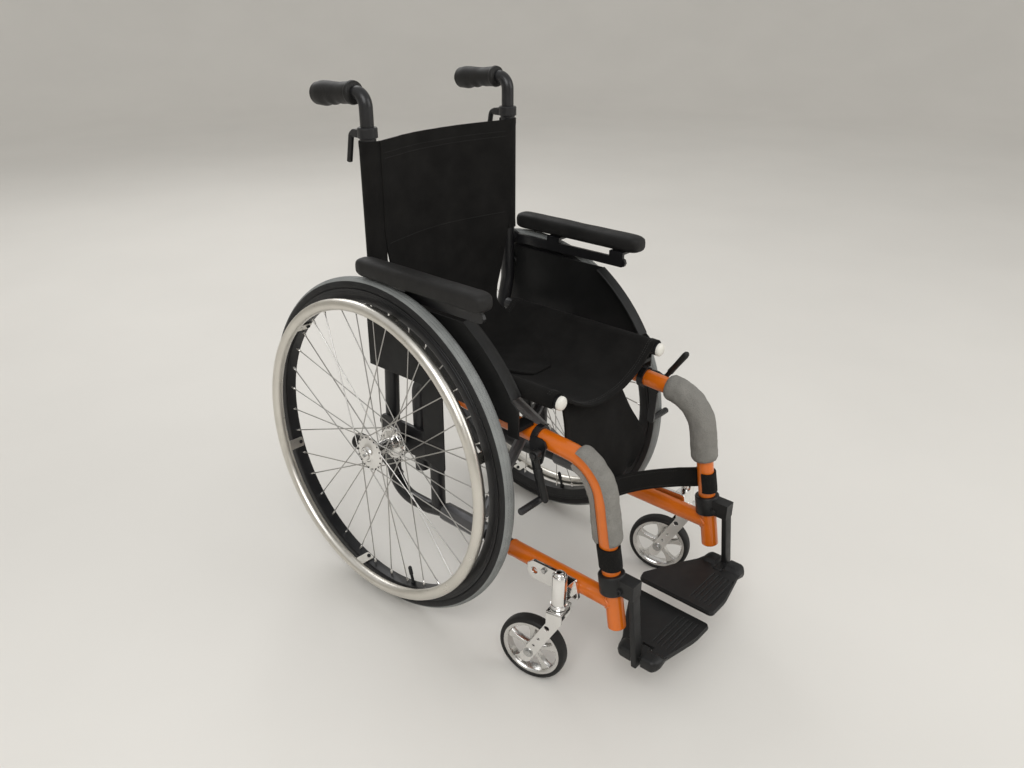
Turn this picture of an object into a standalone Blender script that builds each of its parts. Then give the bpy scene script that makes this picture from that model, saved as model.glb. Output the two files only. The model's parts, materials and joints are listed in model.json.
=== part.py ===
"""Folding paediatric wheelchair with cambered spoked wheels and a cross-brace fold.

Metres, +Z up, front towards -Y, the occupant's right at -X. Paired pieces are modelled once, on the
left side, where u (= x) grows outboard, and are mirrored for the right side.
"""

import math

import bmesh
import bpy
from mathutils import Matrix, Vector

# Fits
GAP = 0.0003
SEAT_OVERLAP = 0.0030

# Rear wheels
WHEEL_R = 0.2950
TYRE_SECTION_R = 0.0125
CAMBER = math.radians(2.0)
HALF_TRACK = 0.2030
WHEEL_STEPS = 32
RIM_DEPTH = 0.0215
RIM_HALF_WIDTH = 0.0115
RIM_WALL = 0.0016
BEAD_DEPTH = 0.0050
SPOKES = 36
SPOKE_R = 0.0010
SPOKE_CROSS_DEG = 60.0
SPOKE_PHASE_DEG = 7.4
FLANGE_R = 0.0310
FLANGE_CONE = 0.0100
FLANGE_HALF_THICK = 0.0013
FLANGE_IN_W = -0.0256
FLANGE_OUT_W = 0.0263
HUB_IN_W = -0.0340
HUB_OUT_W = 0.0352
HUB_BARREL_R = 0.0125
HUB_END_R = 0.0125
AXLE_R = 0.0060
AXLE_HEAD_R = 0.0095
AXLE_HEAD_LENGTH = 0.0030
BUTTON_R = 0.0030
BUTTON_STROKE = 0.0025
BUTTON_PROUD = 0.0030
HANDRIM_R = 0.2560
HANDRIM_TUBE_R = 0.0095
HANDRIM_W = 0.0308
HANDRIM_TABS = 6
HANDRIM_FIRST_TAB_DEG = 18.0
TAB_THICK = 0.0022
TAB_HALF_WIDTH = 0.0090
TAB_PAST_MIDDLE = 0.0065
VALVE_DEG = 286.0
VALVE_R = 0.0030
VALVE_LENGTH = 0.0340

# Castors
CASTOR_R = 0.0570
CASTOR_HALF_WIDTH = 0.0113
CASTOR_RIM_R = 0.0487
CASTOR_RIM_DEPTH = 0.0062
CASTOR_HUB_R = 0.0100
CASTOR_HUB_HALF = 0.0150
CASTOR_SPOKES = 5
CASTOR_STEPS = 20
CASTOR_TRAIL = 0.0420
CASTOR_BOLT_R = 0.0040
STEM_U = 0.1856
STEM_Y = -0.3740
STEM_R = 0.0060
SWIVEL = {"right": math.radians(13.0), "left": math.radians(17.25)}
FORK_TOP_Z = 0.1520
FORK_HALF_TOP = 0.0130
FORK_HALF_TIP = 0.0100
FORK_WALL = 0.0030
HOUSING_R = 0.0115
HOUSING_TOP_Z = 0.2120
BUSH_R = 0.0135
BRACKET_THICK = 0.0060

# Side frames
SIDE_U = 0.1400
FRAME_R = 0.0140
REAR_R = 0.0125
TUBE_SIDES = 10
PAINTED_SIDES = 12
TOP_JOINT_Y = -0.1200
TOP_JOINT_Z = 0.4110
TOP_SLOPE = 0.0636
FRONT_CORNER_Y = -0.4047
FRONT_BEND_R = 0.0670
POST_LEAN = 0.1760
STUB_BOTTOM_Z = 0.1300
LOWER_Z = 0.1720
LOWER_JOINT_Y = -0.2400
DIP_Z = 0.1630
DIP_FRONT_Y = -0.0780
DIP_REAR_Y = -0.0420
REAR_CORNER_Y = 0.0500
REAR_BEND_R = 0.0500
ELBOW_Y = -0.0300
ELBOW_R = 0.0300
COLUMN_BOTTOM_Z = 0.2400
STRUT_Y = -0.0670
STRUT_TOP_Z = 0.3050
AXLE_PLATE_HALF_HEIGHT = 0.0300
AXLE_PLATE_THICK = 0.0070
AXLE_PLATE_FRONT_Y = -0.0820
AXLE_PLATE_REAR_Y = 0.0540
RECEIVER_R = 0.0105
RECEIVER_LENGTH = 0.0390
TIPPER_R = 0.0095
TIPPER_END_Y = 0.1500
TIPPER_END_Z = 0.2280
TIPPER_CAP_R = 0.0155
TIPPER_CAP_LENGTH = 0.0320
BACK_U = 0.1580
BACK_Y = 0.0360
BACK_SET_LOW_Z = 0.4300
BACK_SET_HIGH_Z = 0.5000
BACK_TOP_Z = 0.8130
COLLAR_R = 0.0154
COLLAR_HEIGHT = 0.0160

# Foam sleeves on the front bends
FOAM_R = 0.0225
FOAM_START_Y = -0.3440
FOAM_END_Z = {"right": 0.2715, "left": 0.2880}
FOAM_BEND_SKIP = {"right": 2, "left": 0}
FOAM_SLIT_DEG = -1.5
FOAM_SLIT_HALF_DEG = 42.0

# Seat and cross brace
RAIL_U = 0.1310
RAIL_Z = 0.4610
RAIL_R = 0.0110
RAIL_FRONT_Y = -0.3220
RAIL_REAR_Y = 0.0120
RAIL_CAP_LENGTH = 0.0080
REAR_FOOT_Y = -0.1000
FOOT_TO_ARM = 0.0010
FOOT_HALF_LENGTH = 0.0120
FOOT_HALF_TOP = 0.0075
FOOT_HALF_BOTTOM = 0.0110
BRACE_Y = -0.1710
BRACE_ARM_R = 0.0100
BRACE_SPACER = 0.0060
BRACE_SLEEVE_R = 0.0165
BRACE_SLEEVE_FRONT = 0.0300
BRACE_SLEEVE_REAR = 0.0730
BRACE_BOLT_R = 0.0040
BRACE_BOLT_HEAD_R = 0.0075
BRACE_BOLT_HEAD = 0.0045
SLING_THICK = 0.0025
SLING_SAG = 0.0505
SLING_POWER = 2.2
SLING_FRONT_Y = -0.3180
SLING_REAR_Y = -0.0060
SLING_LEAVE_DEG = 150.0
SLING_WRAP_DEG = -25.0
SLING_WRAP_STEPS = 4
FLAP_THICK = 0.0030
FLAP_TOP_Y = -0.2960
FLAP_BOTTOM_Y = -0.3060
FLAP_EDGES = (
    (-0.095, 0.045, 0.0),
    (-0.088, 0.072, 0.095),
    (-0.074, 0.097, 0.135),
    (-0.048, 0.117, 0.173),
    (0.005, 0.078, 0.205),
)

# Back, handles and arms
BACK_CLOTH_THICK = 0.0018
BACK_CLOTH_DROP = 0.0200
BACK_WRAP_OVER_LUG = 0.0100
BACK_WRAP_STEP_DEG = 28.0
BACK_WRAP_STEPS = 8
BACK_BOW = 0.0240
BACK_ROWS = (
    (1.0, 1.0, 1.0),
    (0.78, 1.0, 1.0),
    (0.554, 1.0, 1.0),
    (0.404, 0.886, 0.9),
    (0.238, 0.797, 0.8),
    (0.102, 0.709, 0.4),
)
APRON_LIFT = 0.0035
HANDLE_R = 0.0105
HANDLE_BORE_OVER_PIVOT = 0.0170
HANDLE_SPARE = 0.0170
HANDLE_RISE = 0.0495
HANDLE_BEND_R = 0.0195
HANDLE_END_Y = 0.1460
HANDLE_END_DROP = 0.0095
GRIP_START_Y = 0.0580
GRIP_LENGTH = 0.0980
GRIP_R = 0.0165
GRIP_BULB_R = 0.0188
CLAMP_PIVOT_Y = 0.0588
CLAMP_PIVOT_DROP = 0.0100
CLAMP_HUB_R = 0.0058
CLAMP_HUB_HALF = 0.0060
CLAMP_PIN_R = 0.0022
CLAMP_ARM_R = 0.0045
CLAMP_ARM_REACH = 0.0250
CLAMP_ARM_DROP = 0.0460
EAR_THICK = 0.0030
ARM_PIVOT_DROP = 0.0155
ARM_LUG_R = 0.0120
ARM_PIN_R = 0.0050
ARM_BAR_THICK = 0.0056
ARM_BAR_HALF_HEIGHT = 0.0080
ARM_BAR_DROP = 0.0020
ARM_FRONT_Y = -0.2180
BRACKET_Y = (-0.1980, -0.0600)
BRACKET_HALF = 0.0140
BRACKET_OUT_U = 0.1980
BRACKET_SHELF = 0.0040
PAD_FRONT_Y = -0.2380
PAD_REAR_Y = 0.0340
PAD_HALF_WIDTH = 0.0170
PAD_HEIGHT = 0.0290
PAD_OVER_WHEEL = 0.0038

# Side guards
GUARD_CLEARANCE = 0.0035
GUARD_THICK = 0.0025
GUARD_EDGE_OVER = 0.0215
GUARD_FLANGE_WIDTH = 0.0220
GUARD_RISE = 0.2652
GUARD_BOSS_DROP = 0.0300
GUARD_BOSS_R = 0.0090
GUARD_REAR_Y = 0.0480
GUARD_FRONT_DEG = 32.0
GUARD_LEG_FRONT_Y = -0.1240
GUARD_LEG_REAR_Y = -0.0770
GUARD_LEG_BOTTOM_Z = 0.2800
GUARD_TAB_FRONT_Y = -0.2830
GUARD_TAB_REAR_Y = -0.2620

# Brakes
BRAKE_Y = -0.2940
BRAKE_BAND_R = 0.0185
BRAKE_BAND_WIDTH = 0.0100
BRAKE_PLATE_THICK = 0.0035
BRAKE_LEVER_PIVOT = (-0.3120, 0.3880)
BRAKE_SHOE_PIVOT = (-0.3030, 0.3720)
BRAKE_PIN_R = 0.0030
BRAKE_LEVER_LENGTH = 0.0760
BRAKE_LEVER_R = 0.0055
BRAKE_LEVER_HUB_R = 0.0085
BRAKE_LEVER_DEG = {"right": 254.0, "left": 124.0}
BRAKE_SHOE_LENGTH = 0.0623
BRAKE_SHOE_R = 0.0055
BRAKE_SHOE_WALL = 0.0040
BRAKE_SHOE_OPEN_DEG = 256.1
BRAKE_APPLIED = {"right": False, "left": True}

# Footrests
CLAMP_LOW_Z = 0.1900
CLAMP_HIGH_Z = 0.2220
CLAMP_R = 0.0205
CLAMP_BOLT_Y = -0.4565
CLAMP_BOLT_R = 0.0055
HANGER_U = 0.1380
HANGER_Y = -0.4765
HANGER_LEAN = 0.1120
HANGER_HALF_WIDTH = 0.0095
HANGER_HALF_THICK = 0.0045
HEAD_HALF_WIDTH = 0.0110
HEAD_PROUD = 0.0030
FOOTPLATE_TOP_Z = {"right": 0.0900, "left": 0.1100}
FOOTPLATE_THICK = 0.0090
FOOTPLATE_HINGE_U = 0.1115
FOOTPLATE_FRONT_Y = -0.5365
FOOTPLATE_REAR_Y = -0.3950
FOOTPLATE_INNER_U = 0.0010
FOOTPLATE_GROOVES = 5
GROOVE_PITCH = 0.0085
LOBE_OUT_U = 0.1420
LOBE_RISE = 0.0060
LOBE_DROP = 0.0145
LOBE_FRONT_Y = -0.5240
LOBE_REAR_Y = -0.4510
HINGE_LUG_R = 0.0055
HINGE_LUG_HALF = 0.0065
HINGE_SIDE_GAP = 0.0030
HINGE_PIN_R = 0.0030

# Calf strap
STRAP_THICK = 0.0030
STRAP_HEIGHT = 0.0340
STRAP_Z = 0.2495
STRAP_BACK_Y = -0.3250
STRAP_POWER = 1.6

# Derived heights and places
AXLE_Z = (WHEEL_R - TYRE_SECTION_R) * math.cos(CAMBER) + TYRE_SECTION_R
CHAIR_Y = -(FOOTPLATE_FRONT_Y + WHEEL_R) / 2
RIM_R = WHEEL_R - TYRE_SECTION_R - BEAD_DEPTH - GAP
GUARD_TOP_Z = AXLE_Z + GUARD_RISE
PAD_BOTTOM_Z = 2 * AXLE_Z + PAD_OVER_WHEEL
ARM_PIVOT_Z = PAD_BOTTOM_Z - ARM_PIVOT_DROP
BACK_WRAP_BOTTOM_Z = ARM_PIVOT_Z + ARM_LUG_R + BACK_WRAP_OVER_LUG
BACK_CLOTH_TOP_Z = BACK_TOP_Z - BACK_CLOTH_DROP
HANDLE_BORE_BOTTOM_Z = ARM_PIVOT_Z + HANDLE_BORE_OVER_PIVOT
HANDLE_BOTTOM_Z = HANDLE_BORE_BOTTOM_Z + HANDLE_SPARE
HANDLE_TOP_Z = BACK_TOP_Z + HANDLE_RISE
HANDLE_END_Z = HANDLE_TOP_Z - HANDLE_END_DROP
FRONT_FOOT_Y = BRACE_Y - 2 * BRACE_ARM_R - BRACE_SPACER / 2 - FOOT_TO_ARM - FOOT_HALF_LENGTH
ARM_SLOPE = (RAIL_Z - LOWER_Z) / (RAIL_U + SIDE_U)
BRACE_PIVOT_Z = LOWER_Z + SIDE_U * ARM_SLOPE
GUARD_OUT_U = HALF_TRACK - math.sin(CAMBER) * WHEEL_R - TYRE_SECTION_R - GUARD_CLEARANCE
GUARD_IN_U = GUARD_OUT_U - GUARD_THICK
ARM_LUG_END_U = BACK_U + REAR_R + BACK_CLOTH_THICK + 2 * GAP
ARM_IN_U = ARM_LUG_END_U + GAP
PAD_U = ARM_IN_U + 0.0012 + PAD_HALF_WIDTH
SLING_STEP = math.radians(SLING_LEAVE_DEG - SLING_WRAP_DEG) / SLING_WRAP_STEPS
SLING_RING_R = (RAIL_R + GAP) / math.cos(SLING_STEP / 2) + SLING_THICK / 2
BACK_WRAP_STEP = math.radians(BACK_WRAP_STEP_DEG)
BACK_RING_R = (REAR_R + GAP) / math.cos(BACK_WRAP_STEP / 2) + BACK_CLOTH_THICK / 2
SIDES = {"right": -1, "left": 1}


def top_z(y):
    """Height of the side frame's top tube at y."""
    return TOP_JOINT_Z + TOP_SLOPE * (y - TOP_JOINT_Y)


def post_y(z):
    """Place of the leaning front post at height z."""
    return FRONT_CORNER_Y - POST_LEAN * (top_z(FRONT_CORNER_Y) - z)


def sling_z(x, y):
    """Height of the middle of the seat cloth between the rails."""
    ring = SLING_RING_R
    leave = math.radians(SLING_LEAVE_DEG)
    reach = RAIL_U + ring * math.cos(leave)
    edge = RAIL_Z + ring * math.sin(leave)
    share = (y - SLING_REAR_Y) / (SLING_FRONT_Y - SLING_REAR_Y)
    sag = SLING_SAG * (0.84 + 0.16 * share)
    return edge - sag * (1 - (min(abs(x), reach) / reach) ** SLING_POWER)


# Mesh helpers


def closed_mesh(bm):
    """A mesh from a bmesh that is one closed shell, with its faces pointing out."""
    bmesh.ops.recalc_face_normals(bm, faces=bm.faces)
    mesh = bpy.data.meshes.new("shape")
    bm.to_mesh(mesh)
    bm.free()
    return mesh


def skin(rings, loop=False):
    """Joins rings of equal count by quads, capped at both ends or closed into a loop."""
    bm = bmesh.new()
    rows = [[bm.verts.new(point) for point in ring] for ring in rings]
    pairs = list(zip(rows, rows[1:]))
    if loop:
        pairs.append((rows[-1], rows[0]))
    for low, high in pairs:
        for i in range(len(low)):
            j = (i + 1) % len(low)
            bm.faces.new((low[i], low[j], high[j], high[i]))
    if not loop:
        bm.faces.new(rows[0])
        bm.faces.new(rows[-1])
    return closed_mesh(bm)


def loose(radius, sides=TUBE_SIDES):
    """Radius of a hole whose flats clear a round piece of the given radius in any position."""
    return (radius + GAP) / math.cos(math.pi / sides)


def circle(radius, sides, phase=0.0):
    """Points of a circle, the first at the phase angle in radians."""
    step = 2 * math.pi / sides
    return [(radius * math.cos(phase + i * step), radius * math.sin(phase + i * step)) for i in range(sides)]


def arc(centre, radius, start_deg, end_deg, steps):
    """Points of an arc in a plane, both ends included."""
    angles = [math.radians(start_deg + (end_deg - start_deg) * i / steps) for i in range(steps + 1)]
    return [(centre[0] + radius * math.cos(a), centre[1] + radius * math.sin(a)) for a in angles]


def bent(corners, radii, step_deg=24.0):
    """A line through corners, each inner one rounded by its radius."""
    corners = [Vector(corner) for corner in corners]
    if not isinstance(radii, (list, tuple)):
        radii = [radii] * (len(corners) - 2)
    path = [corners[0]]
    for before, corner, after, radius in zip(corners, corners[1:], corners[2:], radii):
        back = (before - corner).normalized()
        ahead = (after - corner).normalized()
        half = back.angle(ahead) / 2
        turn = math.pi - 2 * half
        middle = corner + (back + ahead).normalized() * radius / math.sin(half)
        start = corner + back * radius / math.tan(half) - middle
        axis = start.cross(corner + ahead * radius / math.tan(half) - middle).normalized()
        steps = max(1, round(math.degrees(turn) / step_deg))
        path += [middle + Matrix.Rotation(turn * i / steps, 3, axis) @ start for i in range(steps + 1)]
    path.append(corners[-1])
    return path


def sweep(path, section, side=(1, 0, 0)):
    """Carries a section along a path; its first axis stays as near to side as it can."""
    path = [Vector(point) for point in path]
    rings = []
    for i, point in enumerate(path):
        ahead = (path[min(i + 1, len(path) - 1)] - point).normalized()
        behind = (point - path[max(i - 1, 0)]).normalized()
        along = (ahead + behind).normalized()
        across = (Vector(side) - along * along.dot(Vector(side))).normalized()
        other = along.cross(across)
        rings.append([point + across * a + other * b for a, b in section])
    return skin(rings)


def tube(path, radius, sides=TUBE_SIDES, side=(1, 0, 0)):
    """A round bar along a path."""
    return sweep(path, circle(radius, sides, math.pi / sides), side)


def rod(start, end, radius, sides=TUBE_SIDES):
    """A round bar between two points."""
    return turned(start, end, [(0.0, radius), (1.0, radius)], sides)


def turned(start, end, stations, sides=TUBE_SIDES):
    """A turned piece: stations are (share of the way from start to end, radius)."""
    start, end = Vector(start), Vector(end)
    along = (end - start).normalized()
    helper = Vector((0, 0, 1)) if abs(along.z) < 0.9 else Vector((0, 1, 0))
    across = along.cross(helper).normalized()
    other = along.cross(across)
    rings = [
        [start.lerp(end, share) + across * a + other * b for a, b in circle(radius, sides, math.pi / sides)]
        for share, radius in stations
    ]
    return skin(rings)


def revolved(profile, steps):
    """A ring about the X axis from a closed profile of (w, radius) points."""
    turns = [2 * math.pi * i / steps for i in range(steps)]
    return skin([[(w, r * math.cos(t), r * math.sin(t)) for w, r in profile] for t in turns], loop=True)


def plate(outline, low_u, high_u):
    """A flat plate across X from an outline of (y, z) points."""
    return skin([[(u, y, z) for y, z in outline] for u in (low_u, high_u)])


def slab(outline, low_z, high_z):
    """A flat plate across Z from an outline of (x, y) points."""
    return skin([[(x, y, z) for x, y in outline] for z in (low_z, high_z)])


def box(low, high):
    """A block between two corners."""
    outline = [(low[0], low[1]), (high[0], low[1]), (high[0], high[1]), (low[0], high[1])]
    return slab(outline, low[2], high[2])


def cloth(grid, thickness):
    """A closed sheet of even thickness whose middle surface passes through a grid of points."""
    bm = bmesh.new()
    rows, columns = len(grid), len(grid[0])
    faces = []
    for push in (thickness / 2, -thickness / 2):
        layer = []
        for i in range(rows):
            row = []
            for j in range(columns):
                down = Vector(grid[min(i + 1, rows - 1)][j]) - Vector(grid[max(i - 1, 0)][j])
                across = Vector(grid[i][min(j + 1, columns - 1)]) - Vector(grid[i][max(j - 1, 0)])
                row.append(bm.verts.new(Vector(grid[i][j]) + down.cross(across).normalized() * push))
            layer.append(row)
        faces.append(layer)
    front, back = faces
    for layer in faces:
        for i in range(rows - 1):
            for j in range(columns - 1):
                bm.faces.new((layer[i][j], layer[i][j + 1], layer[i + 1][j + 1], layer[i + 1][j]))
    rim = [(0, j) for j in range(columns)]
    rim += [(i, columns - 1) for i in range(1, rows)]
    rim += [(rows - 1, j) for j in range(columns - 2, -1, -1)]
    rim += [(i, 0) for i in range(rows - 2, 0, -1)]
    for (i, j), (k, m) in zip(rim, rim[1:] + rim[:1]):
        bm.faces.new((front[i][j], front[k][m], back[k][m], back[i][j]))
    return closed_mesh(bm)


def fused(base, joins=(), cuts=()):
    """Joins meshes into one solid, then cuts others out of it."""
    work = bpy.data.objects.new("work", base)
    bpy.context.scene.collection.objects.link(work)
    tools = []
    for operation, meshes in (("UNION", joins), ("DIFFERENCE", cuts)):
        for mesh in meshes:
            tool = bpy.data.objects.new("tool", mesh)
            bpy.context.scene.collection.objects.link(tool)
            tools.append(tool)
            modifier = work.modifiers.new(operation.title(), "BOOLEAN")
            modifier.operation = operation
            modifier.solver = "EXACT"
            modifier.object = tool
    graph = bpy.context.evaluated_depsgraph_get()
    graph.update()
    result = bpy.data.meshes.new_from_object(work.evaluated_get(graph))
    for helper in [work, *tools]:
        bpy.data.objects.remove(helper)
    return result


def placed(mesh, matrix):
    """The mesh moved by a matrix."""
    mesh.transform(matrix)
    return mesh


# Objects and finishes


class Finish:
    """A surface finish that becomes one Principled material."""

    def __init__(self, name, colour, roughness, metallic=0.0):
        self.material = bpy.data.materials.new(name)
        self.material.use_nodes = True
        shader = self.material.node_tree.nodes["Principled BSDF"]
        shader.inputs["Base Color"].default_value = (*colour, 1.0)
        shader.inputs["Roughness"].default_value = roughness
        shader.inputs["Metallic"].default_value = metallic


def empty(name, location, parent=None, rotation=(0, 0, 0)):
    """A frame that other objects hang on."""
    frame = bpy.data.objects.new(name, None)
    frame.location = location
    frame.rotation_euler = rotation
    frame.parent = parent
    bpy.context.scene.collection.objects.link(frame)
    return frame


def emit(name, mesh, finish, parent, origin=(0, 0, 0), mirrored=False):
    """Makes a named object whose origin is the given point of the left-hand shape."""
    mesh = mesh.copy()
    mesh.transform(Matrix.Translation(-Vector(origin)))
    if mirrored:
        mesh.transform(Matrix.Scale(-1, 4, (1, 0, 0)))
        mesh.flip_normals()
    mesh.name = name
    mesh.materials.clear()
    mesh.materials.append(finish.material)
    mesh.shade_smooth()
    mesh.set_sharp_from_angle(angle=math.radians(38))
    piece = bpy.data.objects.new(name, mesh)
    piece.location = (-origin[0] if mirrored else origin[0], origin[1], origin[2])
    piece.parent = parent
    bpy.context.scene.collection.objects.link(piece)
    return piece


def emit_pair(name, mesh, finish, parent, origin=(0, 0, 0)):
    """Makes the right and left copies of a shape that is the same on both sides."""
    for side, sign in SIDES.items():
        emit(f"{name}_{side}", mesh, finish, parent, origin, sign < 0)


# Rear wheels, in the wheel's own frame: X along the axle, w outboard from the tyre plane


def tyre_mesh():
    """Tyre with a round tread and a narrow bead that sits between the rim walls."""
    crown_r = WHEEL_R - TYRE_SECTION_R
    bead = RIM_HALF_WIDTH - RIM_WALL - GAP
    tread = arc((0.0, crown_r), TYRE_SECTION_R, -10, 190, 6)
    inner_r = RIM_R - BEAD_DEPTH + GAP
    lip_r = RIM_R + GAP
    profile = tread + [(-bead, lip_r), (-bead, inner_r), (bead, inner_r), (bead, lip_r)]
    return revolved(profile, WHEEL_STEPS)


def rim_mesh():
    """Deep rim with two walls, a bed for the tyre and the valve stem."""
    wall = RIM_HALF_WIDTH
    bed = RIM_R - BEAD_DEPTH
    inner = RIM_R - RIM_DEPTH
    half = [(wall, RIM_R), (wall - RIM_WALL, RIM_R), (wall - RIM_WALL, bed)]
    profile = half + [(-w, r) for w, r in reversed(half)] + [(-wall * 0.8, inner), (wall * 0.8, inner)]
    valve = math.radians(VALVE_DEG)
    out = Vector((0, -math.cos(valve), math.sin(valve)))
    stem = turned(out * (inner + 0.004), out * (inner - VALVE_LENGTH), [(0, VALVE_R), (0.8, VALVE_R), (1, 0.0016)], 6)
    return fused(revolved(profile, WHEEL_STEPS), [stem])


def spoke_mesh(flange_w, lift, hub_deg, lead):
    """One straight spoke from its flange hole to the rim, on one face of the flange."""
    start = math.radians(hub_deg)
    end = math.radians(hub_deg + lead * SPOKE_CROSS_DEG)
    hole_r = FLANGE_R - 0.0025
    rim_r = (RIM_R - RIM_DEPTH) * math.cos(math.pi / WHEEL_STEPS) - GAP
    foot = Vector((flange_w + lift, hole_r * math.cos(start), hole_r * math.sin(start)))
    head = Vector((0.0, rim_r * math.cos(end), rim_r * math.sin(end)))
    return rod(foot, head, SPOKE_R, 3)


def hub_mesh():
    """Hub with two flanges, its domed outer cap and the crossed spokes."""
    length = HUB_OUT_W - HUB_IN_W
    marks = [
        (HUB_IN_W, HUB_END_R),
        (FLANGE_IN_W - 0.004, HUB_END_R),
        (FLANGE_IN_W - FLANGE_HALF_THICK, HUB_BARREL_R + 0.004),
        (FLANGE_IN_W - FLANGE_HALF_THICK, FLANGE_R),
        (FLANGE_IN_W + FLANGE_HALF_THICK, FLANGE_R),
        (FLANGE_IN_W + FLANGE_CONE, HUB_BARREL_R),
        (FLANGE_OUT_W - FLANGE_CONE, HUB_BARREL_R),
        (FLANGE_OUT_W - FLANGE_HALF_THICK, FLANGE_R),
        (FLANGE_OUT_W + FLANGE_HALF_THICK, FLANGE_R),
        (FLANGE_OUT_W + FLANGE_HALF_THICK, HUB_BARREL_R + 0.004),
        (HUB_OUT_W - 0.002, HUB_END_R),
        (HUB_OUT_W, HUB_END_R - 0.002),
    ]
    stations = [((w - HUB_IN_W) / length, r) for w, r in marks]
    hub = turned((HUB_IN_W, 0, 0), (HUB_OUT_W, 0, 0), stations, 16)
    bore = rod((HUB_IN_W - 0.01, 0, 0), (HUB_OUT_W + 0.01, 0, 0), loose(AXLE_R, 10), 10)
    spokes = []
    for k in range(SPOKES):
        flange_w = FLANGE_OUT_W if k % 2 else FLANGE_IN_W
        lead = 1 if k % 4 > 1 else -1
        lift = lead * (FLANGE_HALF_THICK + SPOKE_R * 0.4)
        spokes.append(spoke_mesh(flange_w, lift, SPOKE_PHASE_DEG + 360.0 / SPOKES * k, lead))
    return fused(hub, spokes, [bore])


def handrim_mesh():
    """Handrim with its six tabs, each a plate along the rim's inner face with a lip inside the handrim."""
    section = [(HANDRIM_W + a, HANDRIM_R + b) for a, b in circle(HANDRIM_TUBE_R, 8, math.pi / 8)]
    ring = revolved(section, WHEEL_STEPS)
    high = (RIM_R - RIM_DEPTH) * math.cos(math.pi / WHEEL_STEPS) - 2 * GAP
    back, face = (high - TAB_THICK, high) if HANDRIM_R > high - TAB_THICK / 2 else (high, high - TAB_THICK)
    bend = HANDRIM_W - TAB_THICK
    outline = [(-TAB_PAST_MIDDLE, back), (HANDRIM_W, back), (HANDRIM_W, HANDRIM_R), (bend, HANDRIM_R), (bend, face)]
    outline.append((-TAB_PAST_MIDDLE, face))
    tabs = []
    for k in range(HANDRIM_TABS):
        turn = math.radians(HANDRIM_FIRST_TAB_DEG + 360.0 / HANDRIM_TABS * k)
        tab = skin([[(u, y, z) for u, z in outline] for y in (-TAB_HALF_WIDTH, TAB_HALF_WIDTH)])
        tabs.append(placed(tab, Matrix.Rotation(math.pi / 2 - turn, 4, "X")))
    return fused(ring, tabs)


def axle_mesh():
    """Quick-release axle with its head, bored for the push button."""
    start = HUB_IN_W - GAP - RECEIVER_LENGTH
    end = HUB_OUT_W + GAP + AXLE_HEAD_LENGTH
    neck = (HUB_OUT_W + GAP - start) / (end - start)
    stations = [(0, AXLE_R - 0.001), (0.02, AXLE_R), (neck, AXLE_R), (neck, AXLE_HEAD_R), (1, AXLE_HEAD_R - 0.001)]
    shaft = turned((start, 0, 0), (end, 0, 0), stations, 10)
    bore = rod((button_start_w() - BUTTON_STROKE - GAP, 0, 0), (end + 0.01, 0, 0), BUTTON_R + GAP, 8)
    return fused(shaft, cuts=[bore])


def button_start_w():
    """Inner end of the push button along the axle."""
    return HUB_OUT_W - 0.0050


def button_mesh():
    """Push button that frees the axle's balls."""
    end = HUB_OUT_W + GAP + AXLE_HEAD_LENGTH + BUTTON_PROUD
    stations = [(0, BUTTON_R), (0.85, BUTTON_R), (1, BUTTON_R - 0.001)]
    return turned((button_start_w(), 0, 0), (end, 0, 0), stations, 8)


def build_wheels(chair, finish):
    """Both rear wheels, leaning in at the top."""
    shapes = [
        ("tyre", tyre_mesh(), finish["tyre"]),
        ("wheel_rim", rim_mesh(), finish["black_metal"]),
        ("hub_and_spokes", hub_mesh(), finish["polished"]),
        ("handrim", handrim_mesh(), finish["silver"]),
        ("axle", axle_mesh(), finish["polished"]),
    ]
    for side, sign in SIDES.items():
        frame = empty(f"wheel_axis_{side}", (sign * HALF_TRACK, 0, AXLE_Z), chair, (0, -sign * CAMBER, 0))
        for name, mesh, look in shapes:
            emit(f"{name}_{side}", mesh, look, frame, mirrored=sign < 0)
        emit(f"axle_button_{side}", button_mesh(), finish["polished"], frame, mirrored=sign < 0)


# Castors, in a frame that stands on the floor under the stem: y rearwards along the trail


def castor_tyre_mesh():
    """Solid castor tyre."""
    half = [(0.0, CASTOR_R), (CASTOR_HALF_WIDTH * 0.75, CASTOR_R - 0.0016), (CASTOR_HALF_WIDTH, CASTOR_R - 0.0050)]
    half.append((CASTOR_HALF_WIDTH * 0.82, CASTOR_RIM_R + GAP))
    return revolved(half + [(-w, r) for w, r in reversed(half[1:])], CASTOR_STEPS)


def castor_wheel_mesh():
    """Castor rim with five spokes and its hub."""
    half = CASTOR_HALF_WIDTH * 0.82
    inner = CASTOR_RIM_R - CASTOR_RIM_DEPTH
    rim = revolved([(half, CASTOR_RIM_R), (-half, CASTOR_RIM_R), (-half * 0.8, inner), (half * 0.8, inner)], CASTOR_STEPS)
    hub = rod((-CASTOR_HUB_HALF, 0, 0), (CASTOR_HUB_HALF, 0, 0), CASTOR_HUB_R)
    bore = rod((-0.03, 0, 0), (0.03, 0, 0), loose(CASTOR_BOLT_R, 8), 8)
    spokes = []
    for k in range(CASTOR_SPOKES):
        outline = [(0.0052, 0.006), (0.0036, 0.026), (0.0056, inner + 0.002)]
        outline += [(-y, z) for y, z in reversed(outline)]
        turn = Matrix.Rotation(2 * math.pi * k / CASTOR_SPOKES, 4, "X")
        spokes.append(placed(plate(outline, -half * 0.5, half * 0.5), turn))
    return fused(rim, [hub, *spokes], [bore])


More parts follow.
